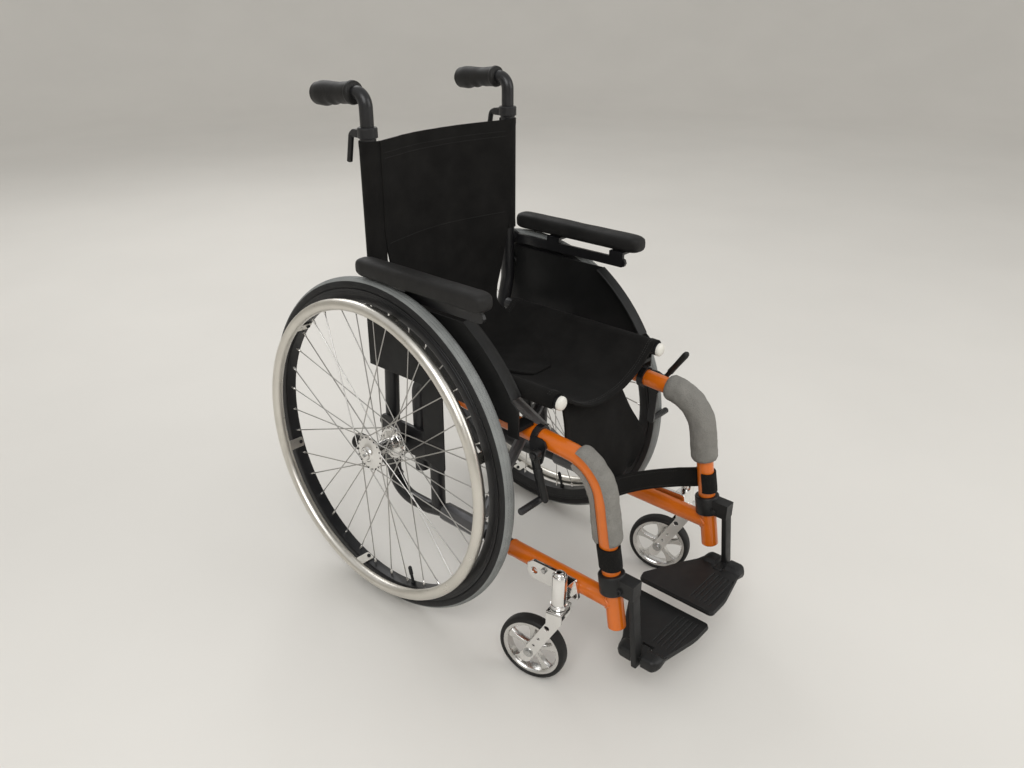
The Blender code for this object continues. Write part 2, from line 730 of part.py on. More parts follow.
def fork_mesh():
    """Raked fork with drilled legs, the stem and the wheel bolt."""
    axle = Vector((CASTOR_TRAIL, CASTOR_R))
    along = (axle - Vector((0.0, FORK_TOP_Z - 0.012))).normalized()
    tip = axle + along * 0.012
    heading = math.degrees(math.atan2(along.y, along.x))
    outline = [(-FORK_HALF_TOP, FORK_TOP_Z), (-FORK_HALF_TOP, FORK_TOP_Z - 0.018)]
    outline += arc(tip, FORK_HALF_TIP, heading - 90, heading + 90, 6)
    outline += [(FORK_HALF_TOP, FORK_TOP_Z - 0.024), (FORK_HALF_TOP, FORK_TOP_Z)]
    inner = CASTOR_HUB_HALF + 0.0005
    outer = inner + FORK_WALL
    crown = box((-outer, -FORK_HALF_TOP, FORK_TOP_Z - 0.004), (outer, FORK_HALF_TOP, FORK_TOP_Z))
    legs = [plate(outline, inner, outer), plate(outline, -outer, -inner)]
    stem = rod((0, 0, FORK_TOP_Z - 0.002), (0, 0, HOUSING_TOP_Z - 0.008), STEM_R, 10)
    bolt = rod((-outer - 0.001, axle.x, axle.y), (outer + 0.001, axle.x, axle.y), CASTOR_BOLT_R, 8)
    heads = [
        turned((s * (outer - 0.0005), axle.x, axle.y), (s * (outer + 0.0035), axle.x, axle.y), [(0, 0.0065), (1, 0.0055)], 6)
        for s in (-1, 1)
    ]
    cuts = []
    for distance, radius in ((-0.068, 0.0045), (-0.038, 0.0025), (-0.020, 0.0025)):
        hole = axle + along * distance
        cuts.append(rod((-0.04, hole.x, hole.y), (0.04, hole.x, hole.y), radius, 6))
    return fused(crown, [*legs, stem, bolt, *heads], cuts)


def housing_mesh():
    """Castor housing on its plate, which is bolted to the lower tube, in the chair's frame."""
    face = SIDE_U + FRAME_R + GAP
    base = FORK_TOP_Z + 0.0006
    outline = [(-0.392, 0.156), (-0.384, 0.190), (-0.300, 0.187), (-0.289, 0.178), (-0.289, 0.160), (-0.300, 0.152)]
    flat = plate(outline, face, face + BRACKET_THICK)
    barrel = turned(
        (STEM_U, STEM_Y, base),
        (STEM_U, STEM_Y, HOUSING_TOP_Z + 0.005),
        [(0, BUSH_R), (0.11, BUSH_R), (0.11, HOUSING_R), (0.92, HOUSING_R), (0.92, 0.0088), (1, 0.0070)],
        12,
    )
    web = box((face + 0.003, STEM_Y - 0.009, 0.162), (STEM_U - 0.004, STEM_Y + 0.009, 0.190))
    bore = rod((STEM_U, STEM_Y, base - 0.01), (STEM_U, STEM_Y, HOUSING_TOP_Z - 0.007), loose(STEM_R, 10), 10)
    hole = rod((face - 0.01, -0.304, 0.1695), (face + 0.02, -0.304, 0.1695), 0.0058, 10)
    bolts = [
        rod((face + BRACKET_THICK - 0.001, y, z), (face + BRACKET_THICK + 0.004, y, z), 0.0048, 6)
        for y, z in ((-0.324, 0.179), (-0.346, 0.165))
    ]
    return fused(flat, [web, barrel, *bolts], [bore, hole])


def build_castors(chair, finish):
    """Both castors, turned as they stand."""
    housing = housing_mesh()
    fork = fork_mesh()
    wheel = castor_wheel_mesh()
    tyre = castor_tyre_mesh()
    emit_pair("castor_housing", housing, finish["polished"], chair, (STEM_U, STEM_Y, 0))
    for side, sign in SIDES.items():
        swivel = empty(f"castor_swivel_{side}", (sign * STEM_U, STEM_Y, 0), chair, (0, 0, SWIVEL[side]))
        emit(f"castor_fork_{side}", fork, finish["polished"], swivel)
        centre = empty(f"castor_axis_{side}", (0, CASTOR_TRAIL, CASTOR_R), swivel)
        emit(f"castor_wheel_{side}", wheel, finish["silver"], centre)
        emit(f"castor_tyre_{side}", tyre, finish["rubber"], centre)


# Side frames


def front_path(start_y, end_z):
    """Centre line of the bent front tube between two of its points."""
    corner = (SIDE_U, FRONT_CORNER_Y, top_z(FRONT_CORNER_Y))
    return bent([(SIDE_U, start_y, top_z(start_y)), corner, (SIDE_U, post_y(end_z), end_z)], FRONT_BEND_R, 13)


def front_frame_mesh():
    """Painted front frame: the bent top tube and post, and the lower tube."""
    main = tube(front_path(TOP_JOINT_Y, STUB_BOTTOM_Z), FRAME_R, PAINTED_SIDES)
    lower_end = (SIDE_U, post_y(LOWER_Z), LOWER_Z)
    lower = rod((SIDE_U, LOWER_JOINT_Y, LOWER_Z), lower_end, FRAME_R, PAINTED_SIDES)
    holes = [
        rod((SIDE_U - 0.03, y, LOWER_Z), (SIDE_U - 0.004, y, LOWER_Z), 0.0032, 6)
        for y in (-0.311, -0.329, -0.348, -0.367)
    ]
    return fused(main, [lower], holes)


def axle_plate_outline():
    """Rounded band that ties the three upright tubes round the axle."""
    low, high = AXLE_Z - AXLE_PLATE_HALF_HEIGHT * 0.85, AXLE_Z + AXLE_PLATE_HALF_HEIGHT
    front, rear = AXLE_PLATE_FRONT_Y, AXLE_PLATE_REAR_Y
    r = 0.012
    outline = arc((rear - r, high - r), r, 0, 90, 2) + arc((front + r, high - r), r, 90, 180, 2)
    return outline + arc((front + r, low + r), r, 180, 270, 2) + arc((rear - r, low + r), r, 270, 360, 2)


def rear_frame_mesh():
    """Black rear frame: lower tube, back post, elbow, strut, axle plate, tipping tube and collar."""
    main_path = bent(
        [
            (SIDE_U, LOWER_JOINT_Y + GAP, LOWER_Z),
            (SIDE_U, DIP_FRONT_Y, LOWER_Z),
            (SIDE_U, DIP_REAR_Y, DIP_Z),
            (SIDE_U, REAR_CORNER_Y, DIP_Z),
            (SIDE_U, BACK_Y, BACK_SET_LOW_Z),
            (BACK_U, BACK_Y, BACK_SET_HIGH_Z),
            (BACK_U, BACK_Y, BACK_TOP_Z),
        ],
        [0.03, 0.03, REAR_BEND_R, 0.05, 0.05],
        30,
    )
    main = sweep(main_path, circle(REAR_R, TUBE_SIDES, math.pi / TUBE_SIDES), side=(1, 0.001, 0))
    elbow_z = top_z(ELBOW_Y)
    elbow_path = bent(
        [(SIDE_U, TOP_JOINT_Y + GAP, top_z(TOP_JOINT_Y)), (SIDE_U, ELBOW_Y, elbow_z), (SIDE_U, ELBOW_Y, COLUMN_BOTTOM_Z)],
        ELBOW_R,
    )
    strut = rod((SIDE_U, STRUT_Y, DIP_Z + 0.004), (SIDE_U, STRUT_Y, STRUT_TOP_Z), REAR_R)
    plate_u = SIDE_U + REAR_R - SEAT_OVERLAP
    band = plate(axle_plate_outline(), plate_u, plate_u + AXLE_PLATE_THICK)
    wheel_frame = Matrix.Translation((HALF_TRACK, 0, AXLE_Z)) @ Matrix.Rotation(-CAMBER, 4, "Y")
    end_w = HUB_IN_W - GAP
    receiver = placed(rod((end_w - RECEIVER_LENGTH, 0, 0), (end_w, 0, 0), RECEIVER_R), wheel_frame)
    axle_hole = placed(rod((end_w - 0.06, 0, 0), (end_w + 0.01, 0, 0), loose(AXLE_R, 10), 10), wheel_frame)
    tipper = tube(
        bent([(SIDE_U, 0.034, 0.198), (SIDE_U, 0.072, 0.222), (SIDE_U, TIPPER_END_Y, TIPPER_END_Z)], 0.03), TIPPER_R, 10
    )
    cap = turned(
        (SIDE_U, TIPPER_END_Y - TIPPER_CAP_LENGTH, TIPPER_END_Z - 0.002),
        (SIDE_U, TIPPER_END_Y + 0.003, TIPPER_END_Z),
        [(0, TIPPER_CAP_R), (0.85, TIPPER_CAP_R), (1, TIPPER_CAP_R - 0.005)],
    )
    knob = turned((SIDE_U, 0.040, 0.303), (SIDE_U, 0.068, 0.303), [(0, 0.007), (0.5, 0.007), (0.55, 0.011), (1, 0.009)], 6)
    collar = turned(
        (BACK_U, BACK_Y, BACK_TOP_Z - COLLAR_HEIGHT),
        (BACK_U, BACK_Y, BACK_TOP_Z),
        [(0, COLLAR_R), (1, COLLAR_R - 0.0015)],
    )
    pivot_z = BACK_TOP_Z - CLAMP_PIVOT_DROP
    ears = []
    for s in (-1, 1):
        near = BACK_U + s * (CLAMP_HUB_HALF + GAP)
        far = near + s * EAR_THICK
        ears.append(
            box(
                (min(near, far), BACK_Y + REAR_R - 0.001, pivot_z - 0.006),
                (max(near, far), CLAMP_PIVOT_Y + 0.005, pivot_z + 0.006),
            )
        )
    lug = rod((BACK_U, BACK_Y, ARM_PIVOT_Z), (ARM_LUG_END_U, BACK_Y, ARM_PIVOT_Z), ARM_LUG_R)
    cuts = [
        axle_hole,
        rod((BACK_U, BACK_Y, HANDLE_BORE_BOTTOM_Z), (BACK_U, BACK_Y, BACK_TOP_Z + 0.02), HANDLE_R + GAP),
        rod((BACK_U - 0.02, CLAMP_PIVOT_Y, pivot_z), (BACK_U + 0.02, CLAMP_PIVOT_Y, pivot_z), loose(CLAMP_PIN_R, 8), 8),
        rod((ARM_LUG_END_U - 0.009, BACK_Y, ARM_PIVOT_Z), (ARM_LUG_END_U + 0.01, BACK_Y, ARM_PIVOT_Z), loose(ARM_PIN_R, 8), 8),
    ]
    joins = [tube(elbow_path, REAR_R), strut, band, receiver, tipper, cap, knob, collar, *ears, lug]
    return fused(main, joins, cuts)


def foam_mesh(skip, end_z):
    """Split foam sleeve round the front bend, open along its outboard side."""
    open_from = FOAM_SLIT_DEG + FOAM_SLIT_HALF_DEG
    open_to = FOAM_SLIT_DEG + 360 - FOAM_SLIT_HALF_DEG
    inner_r = (FRAME_R + GAP) / math.cos(math.radians(open_to - open_from) / 16)
    section = arc((0, 0), FOAM_R, open_from, open_to, 8) + arc((0, 0), inner_r, open_to, open_from, 8)
    return sweep(front_path(FOAM_START_Y, end_z)[skip:], section)


def build_frames(chair, finish):
    """Both side frames with their foam."""
    emit_pair("front_frame", front_frame_mesh(), finish["orange"], chair, (SIDE_U, 0, LOWER_Z))
    emit_pair("rear_frame", rear_frame_mesh(), finish["black_metal"], chair, (SIDE_U, 0, LOWER_Z))
    for side, sign in SIDES.items():
        sleeve = foam_mesh(FOAM_BEND_SKIP[side], FOAM_END_Z[side])
        emit(f"foam_sleeve_{side}", sleeve, finish["foam"], chair, (SIDE_U, 0, LOWER_Z), sign < 0)


# Seat and cross brace


def rail_mesh():
    """Seat rail with two feet that straddle the frame tubes below."""
    rail = rod((RAIL_U, RAIL_REAR_Y, RAIL_Z), (RAIL_U, RAIL_FRONT_Y, RAIL_Z), RAIL_R)
    feet = []
    for y in (FRONT_FOOT_Y, REAR_FOOT_Y):
        low_z = top_z(y) + 0.006
        ends = [(RAIL_U, FOOT_HALF_TOP, RAIL_Z), (SIDE_U - 0.001, FOOT_HALF_BOTTOM, low_z)]
        rings = []
        for u, half, z in ends:
            rings.append([(u + a * half, y + b * FOOT_HALF_LENGTH, z) for a, b in ((-1, -1), (1, -1), (1, 1), (-1, 1))])
        feet.append(skin(rings))
    front = (SIDE_U, FRONT_FOOT_Y - 0.02, top_z(FRONT_FOOT_Y - 0.02))
    middle = (SIDE_U, TOP_JOINT_Y, TOP_JOINT_Z)
    rear = (SIDE_U, REAR_FOOT_Y + 0.02, top_z(REAR_FOOT_Y + 0.02))
    cuts = [rod(front, middle, FRAME_R + GAP, PAINTED_SIDES), rod(middle, rear, REAR_R + GAP)]
    return fused(rail, feet, cuts)


def rail_cap_mesh():
    """Domed white plug on the rail's front end."""
    stations = [(0, RAIL_R), (0.5, RAIL_R), (0.85, RAIL_R - 0.002), (1, RAIL_R - 0.006)]
    start = RAIL_FRONT_Y - GAP
    return turned((RAIL_U, start, RAIL_Z), (RAIL_U, start - RAIL_CAP_LENGTH, RAIL_Z), stations)


def brace_y(side):
    """Plane of one brace arm: the right arm lies behind the left one."""
    half = BRACE_ARM_R + BRACE_SPACER / 2
    return BRACE_Y + (half if side == "right" else -half)


def cross_arm_mesh(y):
    """Brace arm from its sleeve on its own lower tube to the opposite seat rail."""
    arm = rod((SIDE_U, y, LOWER_Z), (-RAIL_U, y, RAIL_Z), BRACE_ARM_R, 10)
    front, rear = y - BRACE_SLEEVE_FRONT, y + BRACE_SLEEVE_REAR
    sleeve = rod((SIDE_U, front, LOWER_Z), (SIDE_U, rear, LOWER_Z), BRACE_SLEEVE_R)
    cuts = [
        rod((SIDE_U, front - 0.01, LOWER_Z), (SIDE_U, rear + 0.01, LOWER_Z), loose(REAR_R)),
        rod((-RAIL_U, y - 0.03, RAIL_Z), (-RAIL_U, y + 0.03, RAIL_Z), loose(RAIL_R)),
        rod((0, y - 0.03, BRACE_PIVOT_Z), (0, y + 0.03, BRACE_PIVOT_Z), loose(BRACE_BOLT_R, 8), 8),
    ]
    return fused(arm, [sleeve], cuts)


def brace_bolt_mesh():
    """Bolt through both arms, with a spacer between them."""
    rear = brace_y("right") + BRACE_ARM_R + GAP
    front = brace_y("left") - BRACE_ARM_R - GAP
    start, end = rear + BRACE_BOLT_HEAD, front - BRACE_BOLT_HEAD
    half = BRACE_SPACER / 2 - GAP
    marks = [
        (start, BRACE_BOLT_HEAD_R),
        (rear, BRACE_BOLT_HEAD_R),
        (rear, BRACE_BOLT_R),
        (BRACE_Y + half, BRACE_BOLT_R),
        (BRACE_Y + half, BRACE_BOLT_HEAD_R),
        (BRACE_Y - half, BRACE_BOLT_HEAD_R),
        (BRACE_Y - half, BRACE_BOLT_R),
        (front, BRACE_BOLT_R),
        (front, BRACE_BOLT_HEAD_R),
        (end, BRACE_BOLT_HEAD_R),
    ]
    stations = [((y - start) / (end - start), r) for y, r in marks]
    return turned((0, start, BRACE_PIVOT_Z), (0, end, BRACE_PIVOT_Z), stations, 8)


def sling_mesh():
    """Seat cloth that wraps both rails and sags between them."""
    ring = SLING_RING_R
    reach = RAIL_U + ring * math.cos(math.radians(SLING_LEAVE_DEG))
    wraps = arc((RAIL_U, RAIL_Z), ring, SLING_WRAP_DEG, SLING_LEAVE_DEG, SLING_WRAP_STEPS)
    spans = [reach * (1 - i / 4) for i in range(1, 5)]
    rows = []
    for i in range(4):
        y = SLING_REAR_Y + (SLING_FRONT_Y - SLING_REAR_Y) * i / 3
        half = [(x, y, z) for x, z in wraps] + [(x, y, sling_z(x, y)) for x in spans]
        rows.append(half + [(-x, py, z) for x, py, z in reversed(half[:-1])])
    return cloth(rows, SLING_THICK)


def flap_mesh():
    """Loose cloth flap that hangs below the front of the seat."""
    rows = []
    for i, (left, right, drop) in enumerate(FLAP_EDGES):
        y = FLAP_TOP_Y + (FLAP_BOTTOM_Y - FLAP_TOP_Y) * i / 4
        row = []
        for j in range(7):
            share = j / 6
            x = left + (right - left) * share
            fold = 0.0035 * i / 4 * math.sin(share * 3 * math.pi)
            hem = RAIL_Z - drop - 0.006 * i / 4 * (1 - abs(2 * share - 1))
            seam = sling_z(x, y) - SLING_THICK / 2 - 4 * GAP
            row.append((x, y + fold, hem if i else seam))
        rows.append(row)
    return cloth(rows, FLAP_THICK)


def build_seat(chair, finish):
    """Rails, brace and seat cloth."""
    emit_pair("seat_rail", rail_mesh(), finish["black_metal"], chair, (RAIL_U, 0, RAIL_Z))
    emit_pair("rail_cap", rail_cap_mesh(), finish["white"], chair, (RAIL_U, RAIL_FRONT_Y, RAIL_Z))
    for side, sign in SIDES.items():
        mesh = cross_arm_mesh(brace_y(side))
        origin = (SIDE_U, brace_y(side), LOWER_Z)
        emit(f"cross_arm_{side}", mesh, finish["grey_metal"], chair, origin, sign < 0)
    emit("cross_brace_pivot_bolt", brace_bolt_mesh(), finish["grey_metal"], chair, (0, BRACE_Y, BRACE_PIVOT_Z))
    emit("seat_sling", sling_mesh(), finish["cloth"], chair, (0, 0, RAIL_Z))
    emit("under_seat_flap", flap_mesh(), finish["cloth"], chair, (0, FLAP_TOP_Y, RAIL_Z))


# Back, handles and arms


def back_mesh():
    """Back cloth wrapped round both posts, with an apron that lies forward on the seat."""
    front_y = BACK_Y - BACK_RING_R
    rows = []
    tall = BACK_CLOTH_TOP_Z - RAIL_Z
    for share, half, bow in BACK_ROWS:
        z = RAIL_Z + tall * share
        rows.append([(half * BACK_U * s, front_y + BACK_BOW * bow * (1 - s * s), z) for s in fan()])
    for y, half in ((0.006, 0.100), (-0.035, 0.097), (-0.085, 0.088), (-0.140, 0.062), (-0.182, 0.022)):
        lift = APRON_LIFT + (0.014 if y > 0 else 0.0)
        rows.append([(half * s, y, sling_z(half * s, y) + lift) for s in fan()])
    sheet = cloth(rows, BACK_CLOTH_THICK)
    shares = fan()
    slope = BACK_BOW * (1 - shares[1] ** 2) / (BACK_U * (1 + shares[1]))
    tongue = 0.006
    angles = [BACK_WRAP_STEP * i - math.pi / 2 for i in range(BACK_WRAP_STEPS + 1)]
    path = [(BACK_U - tongue, front_y + tongue * slope)]
    path += [(BACK_U + BACK_RING_R * math.cos(a), BACK_Y + BACK_RING_R * math.sin(a)) for a in angles]
    wraps = []
    for s in (-1, 1):
        levels = (BACK_CLOTH_TOP_Z - GAP, BACK_WRAP_BOTTOM_Z)
        wraps.append(cloth([[(s * x, y, z) for x, y in path] for z in levels], BACK_CLOTH_THICK - 2 * GAP))
    return fused(sheet, wraps)


def fan():
    """Even shares from one edge of the back to the other."""
    return [i / 3 - 1 for i in range(7)]


def handle_direction():
    """Unit vector along the grip, rearwards."""
    return Vector((0, HANDLE_END_Y - BACK_Y, HANDLE_END_Z - HANDLE_TOP_Z)).normalized()


def handle_mesh():
    """Bent push handle tube that slides in the back post."""
    path = bent(
        [(BACK_U, BACK_Y, HANDLE_BOTTOM_Z), (BACK_U, BACK_Y, HANDLE_TOP_Z), (BACK_U, HANDLE_END_Y, HANDLE_END_Z)],
        HANDLE_BEND_R,
    )
    return tube(path, HANDLE_R)


def grip_mesh():
    """Moulded grip with a bulb at its closed end."""
    along = handle_direction()
    start = Vector((BACK_U, BACK_Y, HANDLE_TOP_Z)) + along * (GRIP_START_Y - BACK_Y) / along.y
    end = start + along * GRIP_LENGTH
    stations = [
        (0, GRIP_R - 0.001),
        (0.06, GRIP_R + 0.001),
        (0.35, GRIP_R - 0.0006),
        (0.78, GRIP_BULB_R),
        (0.93, GRIP_BULB_R - 0.0015),
        (1, GRIP_BULB_R - 0.009),
    ]
    tube_end = Vector((BACK_U, HANDLE_END_Y, HANDLE_END_Z)) + along * GAP
    return fused(turned(start, end, stations), cuts=[rod(start - along * 0.02, tube_end, HANDLE_R + GAP)])


def clamp_lever_mesh():
    """Hook-shaped clamp lever with its pin."""
    pivot = Vector((BACK_U, CLAMP_PIVOT_Y, BACK_TOP_Z - CLAMP_PIVOT_DROP))
    knee = pivot + Vector((0, CLAMP_ARM_REACH * 0.62, -0.001))
    tip = pivot + Vector((0, CLAMP_ARM_REACH, -CLAMP_ARM_DROP))
    arm = tube(bent([pivot, knee, tip], 0.009, 25), CLAMP_ARM_R, 8)
    half = Vector((CLAMP_HUB_HALF, 0, 0))
    reach = Vector((CLAMP_HUB_HALF + EAR_THICK, 0, 0))
    return fused(arm, [rod(pivot - half, pivot + half, CLAMP_HUB_R, 10), rod(pivot - reach, pivot + reach, CLAMP_PIN_R, 8)])


def pad_mesh():
    """Armrest pad, crowned and rounded at both ends."""
    section = [(-1, 0.0), (-0.8, -0.5), (0.8, -0.5), (1, 0.0), (0.85, 0.36), (0.4, 0.5), (-0.4, 0.5), (-0.85, 0.36)]
    middle = PAD_BOTTOM_Z + GAP + PAD_HEIGHT / 2
    rings = []
    for share, scale in ((0, 0.62), (0.03, 0.9), (0.12, 1.0), (0.5, 1.0), (0.88, 1.0), (0.97, 0.9), (1, 0.62)):
        y = PAD_REAR_Y + (PAD_FRONT_Y - PAD_REAR_Y) * share
        rings.append([(PAD_U + PAD_HALF_WIDTH * a * scale, y, middle + PAD_HEIGHT * max(b * scale, -0.5)) for a, b in section])
    return skin(rings)


def arm_support_mesh():
    """Flat bar beside the tyre with its pivot eye, and two brackets that carry the pad over the tyre."""
    outer = ARM_IN_U + ARM_BAR_THICK
    half = ARM_BAR_HALF_HEIGHT
    z = ARM_PIVOT_Z - ARM_BAR_DROP
    outline = arc((BACK_Y, ARM_PIVOT_Z), ARM_LUG_R, -90, 90, 6)
    outline += [(BACK_Y - 0.012, z + half)] + arc((ARM_FRONT_Y + half, z), half, 90, 270, 4) + [(BACK_Y - 0.012, z - half)]
    bar = plate(outline, ARM_IN_U, outer)
    start = ARM_LUG_END_U - 0.0080
    pin = rod((start, BACK_Y, ARM_PIVOT_Z), (outer - 0.001, BACK_Y, ARM_PIVOT_Z), ARM_PIN_R, 8)
    brackets = []
    for y in BRACKET_Y:
        low = (ARM_IN_U, y - BRACKET_HALF, z)
        brackets.append(box(low, (outer, y + BRACKET_HALF, PAD_BOTTOM_Z - BRACKET_SHELF / 2)))
        shelf = (ARM_IN_U, y - BRACKET_HALF, PAD_BOTTOM_Z - BRACKET_SHELF)
        brackets.append(box(shelf, (BRACKET_OUT_U, y + BRACKET_HALF, PAD_BOTTOM_Z)))
    return fused(bar, [pin, *brackets])


def guard_mesh():
    """Side guard whose front edge follows the tyre, with its inward flange, leg and clip."""
    edge_r = WHEEL_R + GUARD_EDGE_OVER
    lift = (GUARD_TOP_Z - AXLE_Z) / edge_r
    top_deg = math.degrees(math.asin(lift))
    edge = [(-y, z + AXLE_Z) for y, z in arc((0, 0), edge_r, GUARD_FRONT_DEG, top_deg, 6)]
    low_z = top_z(GUARD_LEG_FRONT_Y) + FRAME_R + 0.004
    clip_z = top_z(GUARD_TAB_FRONT_Y) + FRAME_R + 0.001
    corner = 0.010
    leg = [(GUARD_LEG_FRONT_Y, low_z)]
    leg += arc((GUARD_LEG_FRONT_Y + corner, GUARD_LEG_BOTTOM_Z + corner), corner, 180, 270, 3)
    leg += [(GUARD_LEG_REAR_Y, GUARD_LEG_BOTTOM_Z + 0.012), (GUARD_LEG_REAR_Y, low_z)]
    outline = [(GUARD_TAB_FRONT_Y, clip_z - 0.012), (GUARD_TAB_REAR_Y, clip_z - 0.012), (GUARD_TAB_REAR_Y, low_z - 0.004)]
    outline += leg + [(GUARD_REAR_Y, low_z), (GUARD_REAR_Y, GUARD_TOP_Z)]
    outline += list(reversed(edge)) + [(GUARD_TAB_FRONT_Y, edge[0][1] - 0.012)]
    sheet = plate(outline, GUARD_IN_U, GUARD_OUT_U)
    path = [(GUARD_OUT_U - GUARD_FLANGE_WIDTH / 2, y, z) for y, z in edge]
    half = GUARD_FLANGE_WIDTH / 2
    wall = GUARD_THICK / 2
    flange = sweep(path, [(half, wall), (-half, wall), (-half, -wall), (half, -wall)])
    clip = box(
        (SIDE_U + 0.002, GUARD_TAB_FRONT_Y, clip_z), (GUARD_OUT_U - 0.001, GUARD_TAB_REAR_Y, clip_z + 0.006)
    )
    boss_z = GUARD_TOP_Z - GUARD_BOSS_DROP
    boss = rod((BACK_U + REAR_R + GAP, BACK_Y, boss_z), (GUARD_OUT_U - 0.001, BACK_Y, boss_z), GUARD_BOSS_R, 10)
    return fused(sheet, [flange, clip, boss])


def build_back_and_arms(chair, finish):
    """Back cloth, push handles, armrests and side guards."""
    emit("back_upholstery", back_mesh(), finish["cloth"], chair, (0, BACK_Y, BACK_TOP_Z))
    emit_pair("push_handle", handle_mesh(), finish["black_metal"], chair, (BACK_U, BACK_Y, HANDLE_BOTTOM_Z))
    emit_pair("handle_grip", grip_mesh(), finish["rubber"], chair, (BACK_U, BACK_Y, HANDLE_BOTTOM_Z))
    clamp_origin = (BACK_U, CLAMP_PIVOT_Y, BACK_TOP_Z - CLAMP_PIVOT_DROP)
    emit_pair("handle_clamp_lever", clamp_lever_mesh(), finish["plastic"], chair, clamp_origin)
    emit_pair("arm_pad", pad_mesh(), finish["rubber"], chair, (ARM_LUG_END_U, BACK_Y, ARM_PIVOT_Z))
    emit_pair("arm_support", arm_support_mesh(), finish["black_metal"], chair, (ARM_LUG_END_U, BACK_Y, ARM_PIVOT_Z))
    emit_pair("side_guard", guard_mesh(), finish["plastic"], chair, (GUARD_OUT_U, 0, AXLE_Z))


# Brakes


def brake_plate_u():
    """Inner face of the brake plate."""
    return SIDE_U + BRAKE_BAND_R - 0.0025


def shoe_u():
    """Inner face of the shoe arm."""
    return brake_plate_u() + BRAKE_PLATE_THICK + GAP


def lever_u():
    """Middle plane of the lever."""
    return shoe_u() + BRAKE_SHOE_WALL + 0.0025 + BRAKE_LEVER_R


def shoe_applied_deg():
    """Angle of the shoe arm at which the roller meets the tyre."""
    reach = WHEEL_R + BRAKE_SHOE_R + GAP
    dy, dz = -BRAKE_SHOE_PIVOT[0], AXLE_Z - BRAKE_SHOE_PIVOT[1]
    far = math.hypot(dy, dz)
    cosine = (far**2 + BRAKE_SHOE_LENGTH**2 - reach**2) / (2 * far * BRAKE_SHOE_LENGTH)
    return math.degrees(math.atan2(dz, dy) - math.acos(cosine)) % 360


def brake_mount_mesh():
    """Band on the top tube with the plate that carries both pins."""
    along = Vector((0, 1, TOP_SLOPE)).normalized()
    middle = Vector((SIDE_U, BRAKE_Y, top_z(BRAKE_Y)))
    half = along * BRAKE_BAND_WIDTH / 2
    band = rod(middle - half, middle + half, BRAKE_BAND_R, PAINTED_SIDES)
    hole = rod(middle - half * 3, middle + half * 3, FRAME_R + GAP, PAINTED_SIDES)
    inner = brake_plate_u()
    outer = inner + BRAKE_PLATE_THICK
    (ly, lz), (sy, sz) = BRAKE_LEVER_PIVOT, BRAKE_SHOE_PIVOT
    outline = arc((sy + 0.004, lz + 0.010), 0.010, 0, 90, 2) + arc((ly + 0.001, lz + 0.010), 0.010, 90, 180, 2)
    outline += arc((sy, sz), 0.011, 200, 340, 4)
    flat = plate(outline, inner, outer)
    lever_pin = rod((inner + 0.001, ly, lz), (lever_u() + BRAKE_LEVER_R + 0.002, ly, lz), BRAKE_PIN_R, 8)
    head_u = lever_u() + BRAKE_LEVER_R + GAP
    head = rod((head_u, ly, lz), (head_u + 0.0025, ly, lz), 0.0052, 8)
    shoe_pin = rod((inner + 0.001, sy, sz), (shoe_u() + BRAKE_SHOE_WALL + 0.001, sy, sz), BRAKE_PIN_R, 8)
    return fused(band, [flat, lever_pin, head, shoe_pin], [hole])


def brake_lever_mesh(angle_deg):
    """Lever with a rounded plastic grip, at its angle from rearwards towards up."""
    y, z = BRAKE_LEVER_PIVOT
    u = lever_u()
    way = Vector((0, math.cos(math.radians(angle_deg)), math.sin(math.radians(angle_deg))))
    pivot = Vector((u, y, z))
    bar = turned(
        pivot,
        pivot + way * BRAKE_LEVER_LENGTH,
        [(0, 0.0042), (0.3, 0.0042), (0.32, BRAKE_LEVER_R), (0.94, BRAKE_LEVER_R), (1, BRAKE_LEVER_R - 0.003)],
        8,
    )
    hub = rod((u - BRAKE_LEVER_R, y, z), (u + BRAKE_LEVER_R, y, z), BRAKE_LEVER_HUB_R, 10)
    hole = rod((u - 0.02, y, z), (u + 0.02, y, z), loose(BRAKE_PIN_R, 8), 8)
    return fused(bar, [hub], [hole])


def brake_shoe_mesh(angle_deg):
    """Shoe arm with the roller that presses on the tyre."""
    y, z = BRAKE_SHOE_PIVOT
    way = math.radians(angle_deg)
    end = (y + BRAKE_SHOE_LENGTH * math.cos(way), z + BRAKE_SHOE_LENGTH * math.sin(way))
    outline = arc((y, z), 0.0072, angle_deg + 90, angle_deg + 270, 4) + arc(end, 0.0060, angle_deg - 90, angle_deg + 90, 4)
    inner = shoe_u()
    arm = plate(outline, inner, inner + BRAKE_SHOE_WALL)
    roller = rod((inner + 0.001, *end), (HALF_TRACK + 0.0095, *end), BRAKE_SHOE_R, 10)
    hole = rod((inner - 0.01, y, z), (inner + 0.02, y, z), loose(BRAKE_PIN_R, 8), 8)
    return fused(arm, [roller], [hole])


def build_brakes(chair, finish):
    """Both brakes: the right one open, the left one on."""
    lever_origin = (lever_u(), *BRAKE_LEVER_PIVOT)
    shoe_origin = (shoe_u(), *BRAKE_SHOE_PIVOT)
    emit_pair("brake_mount", brake_mount_mesh(), finish["black_metal"], chair, (SIDE_U, BRAKE_Y, top_z(BRAKE_Y)))
    for side, sign in SIDES.items():
        shoe_deg = shoe_applied_deg() if BRAKE_APPLIED[side] else BRAKE_SHOE_OPEN_DEG
        lever = brake_lever_mesh(BRAKE_LEVER_DEG[side])
        emit(f"brake_lever_{side}", lever, finish["plastic"], chair, lever_origin, sign < 0)
        emit(f"brake_shoe_{side}", brake_shoe_mesh(shoe_deg), finish["black_metal"], chair, shoe_origin, sign < 0)


# Footrests


def hinge_z(top):
    """Height of the footplate's hinge below its top face."""
    return top - FOOTPLATE_THICK / 2


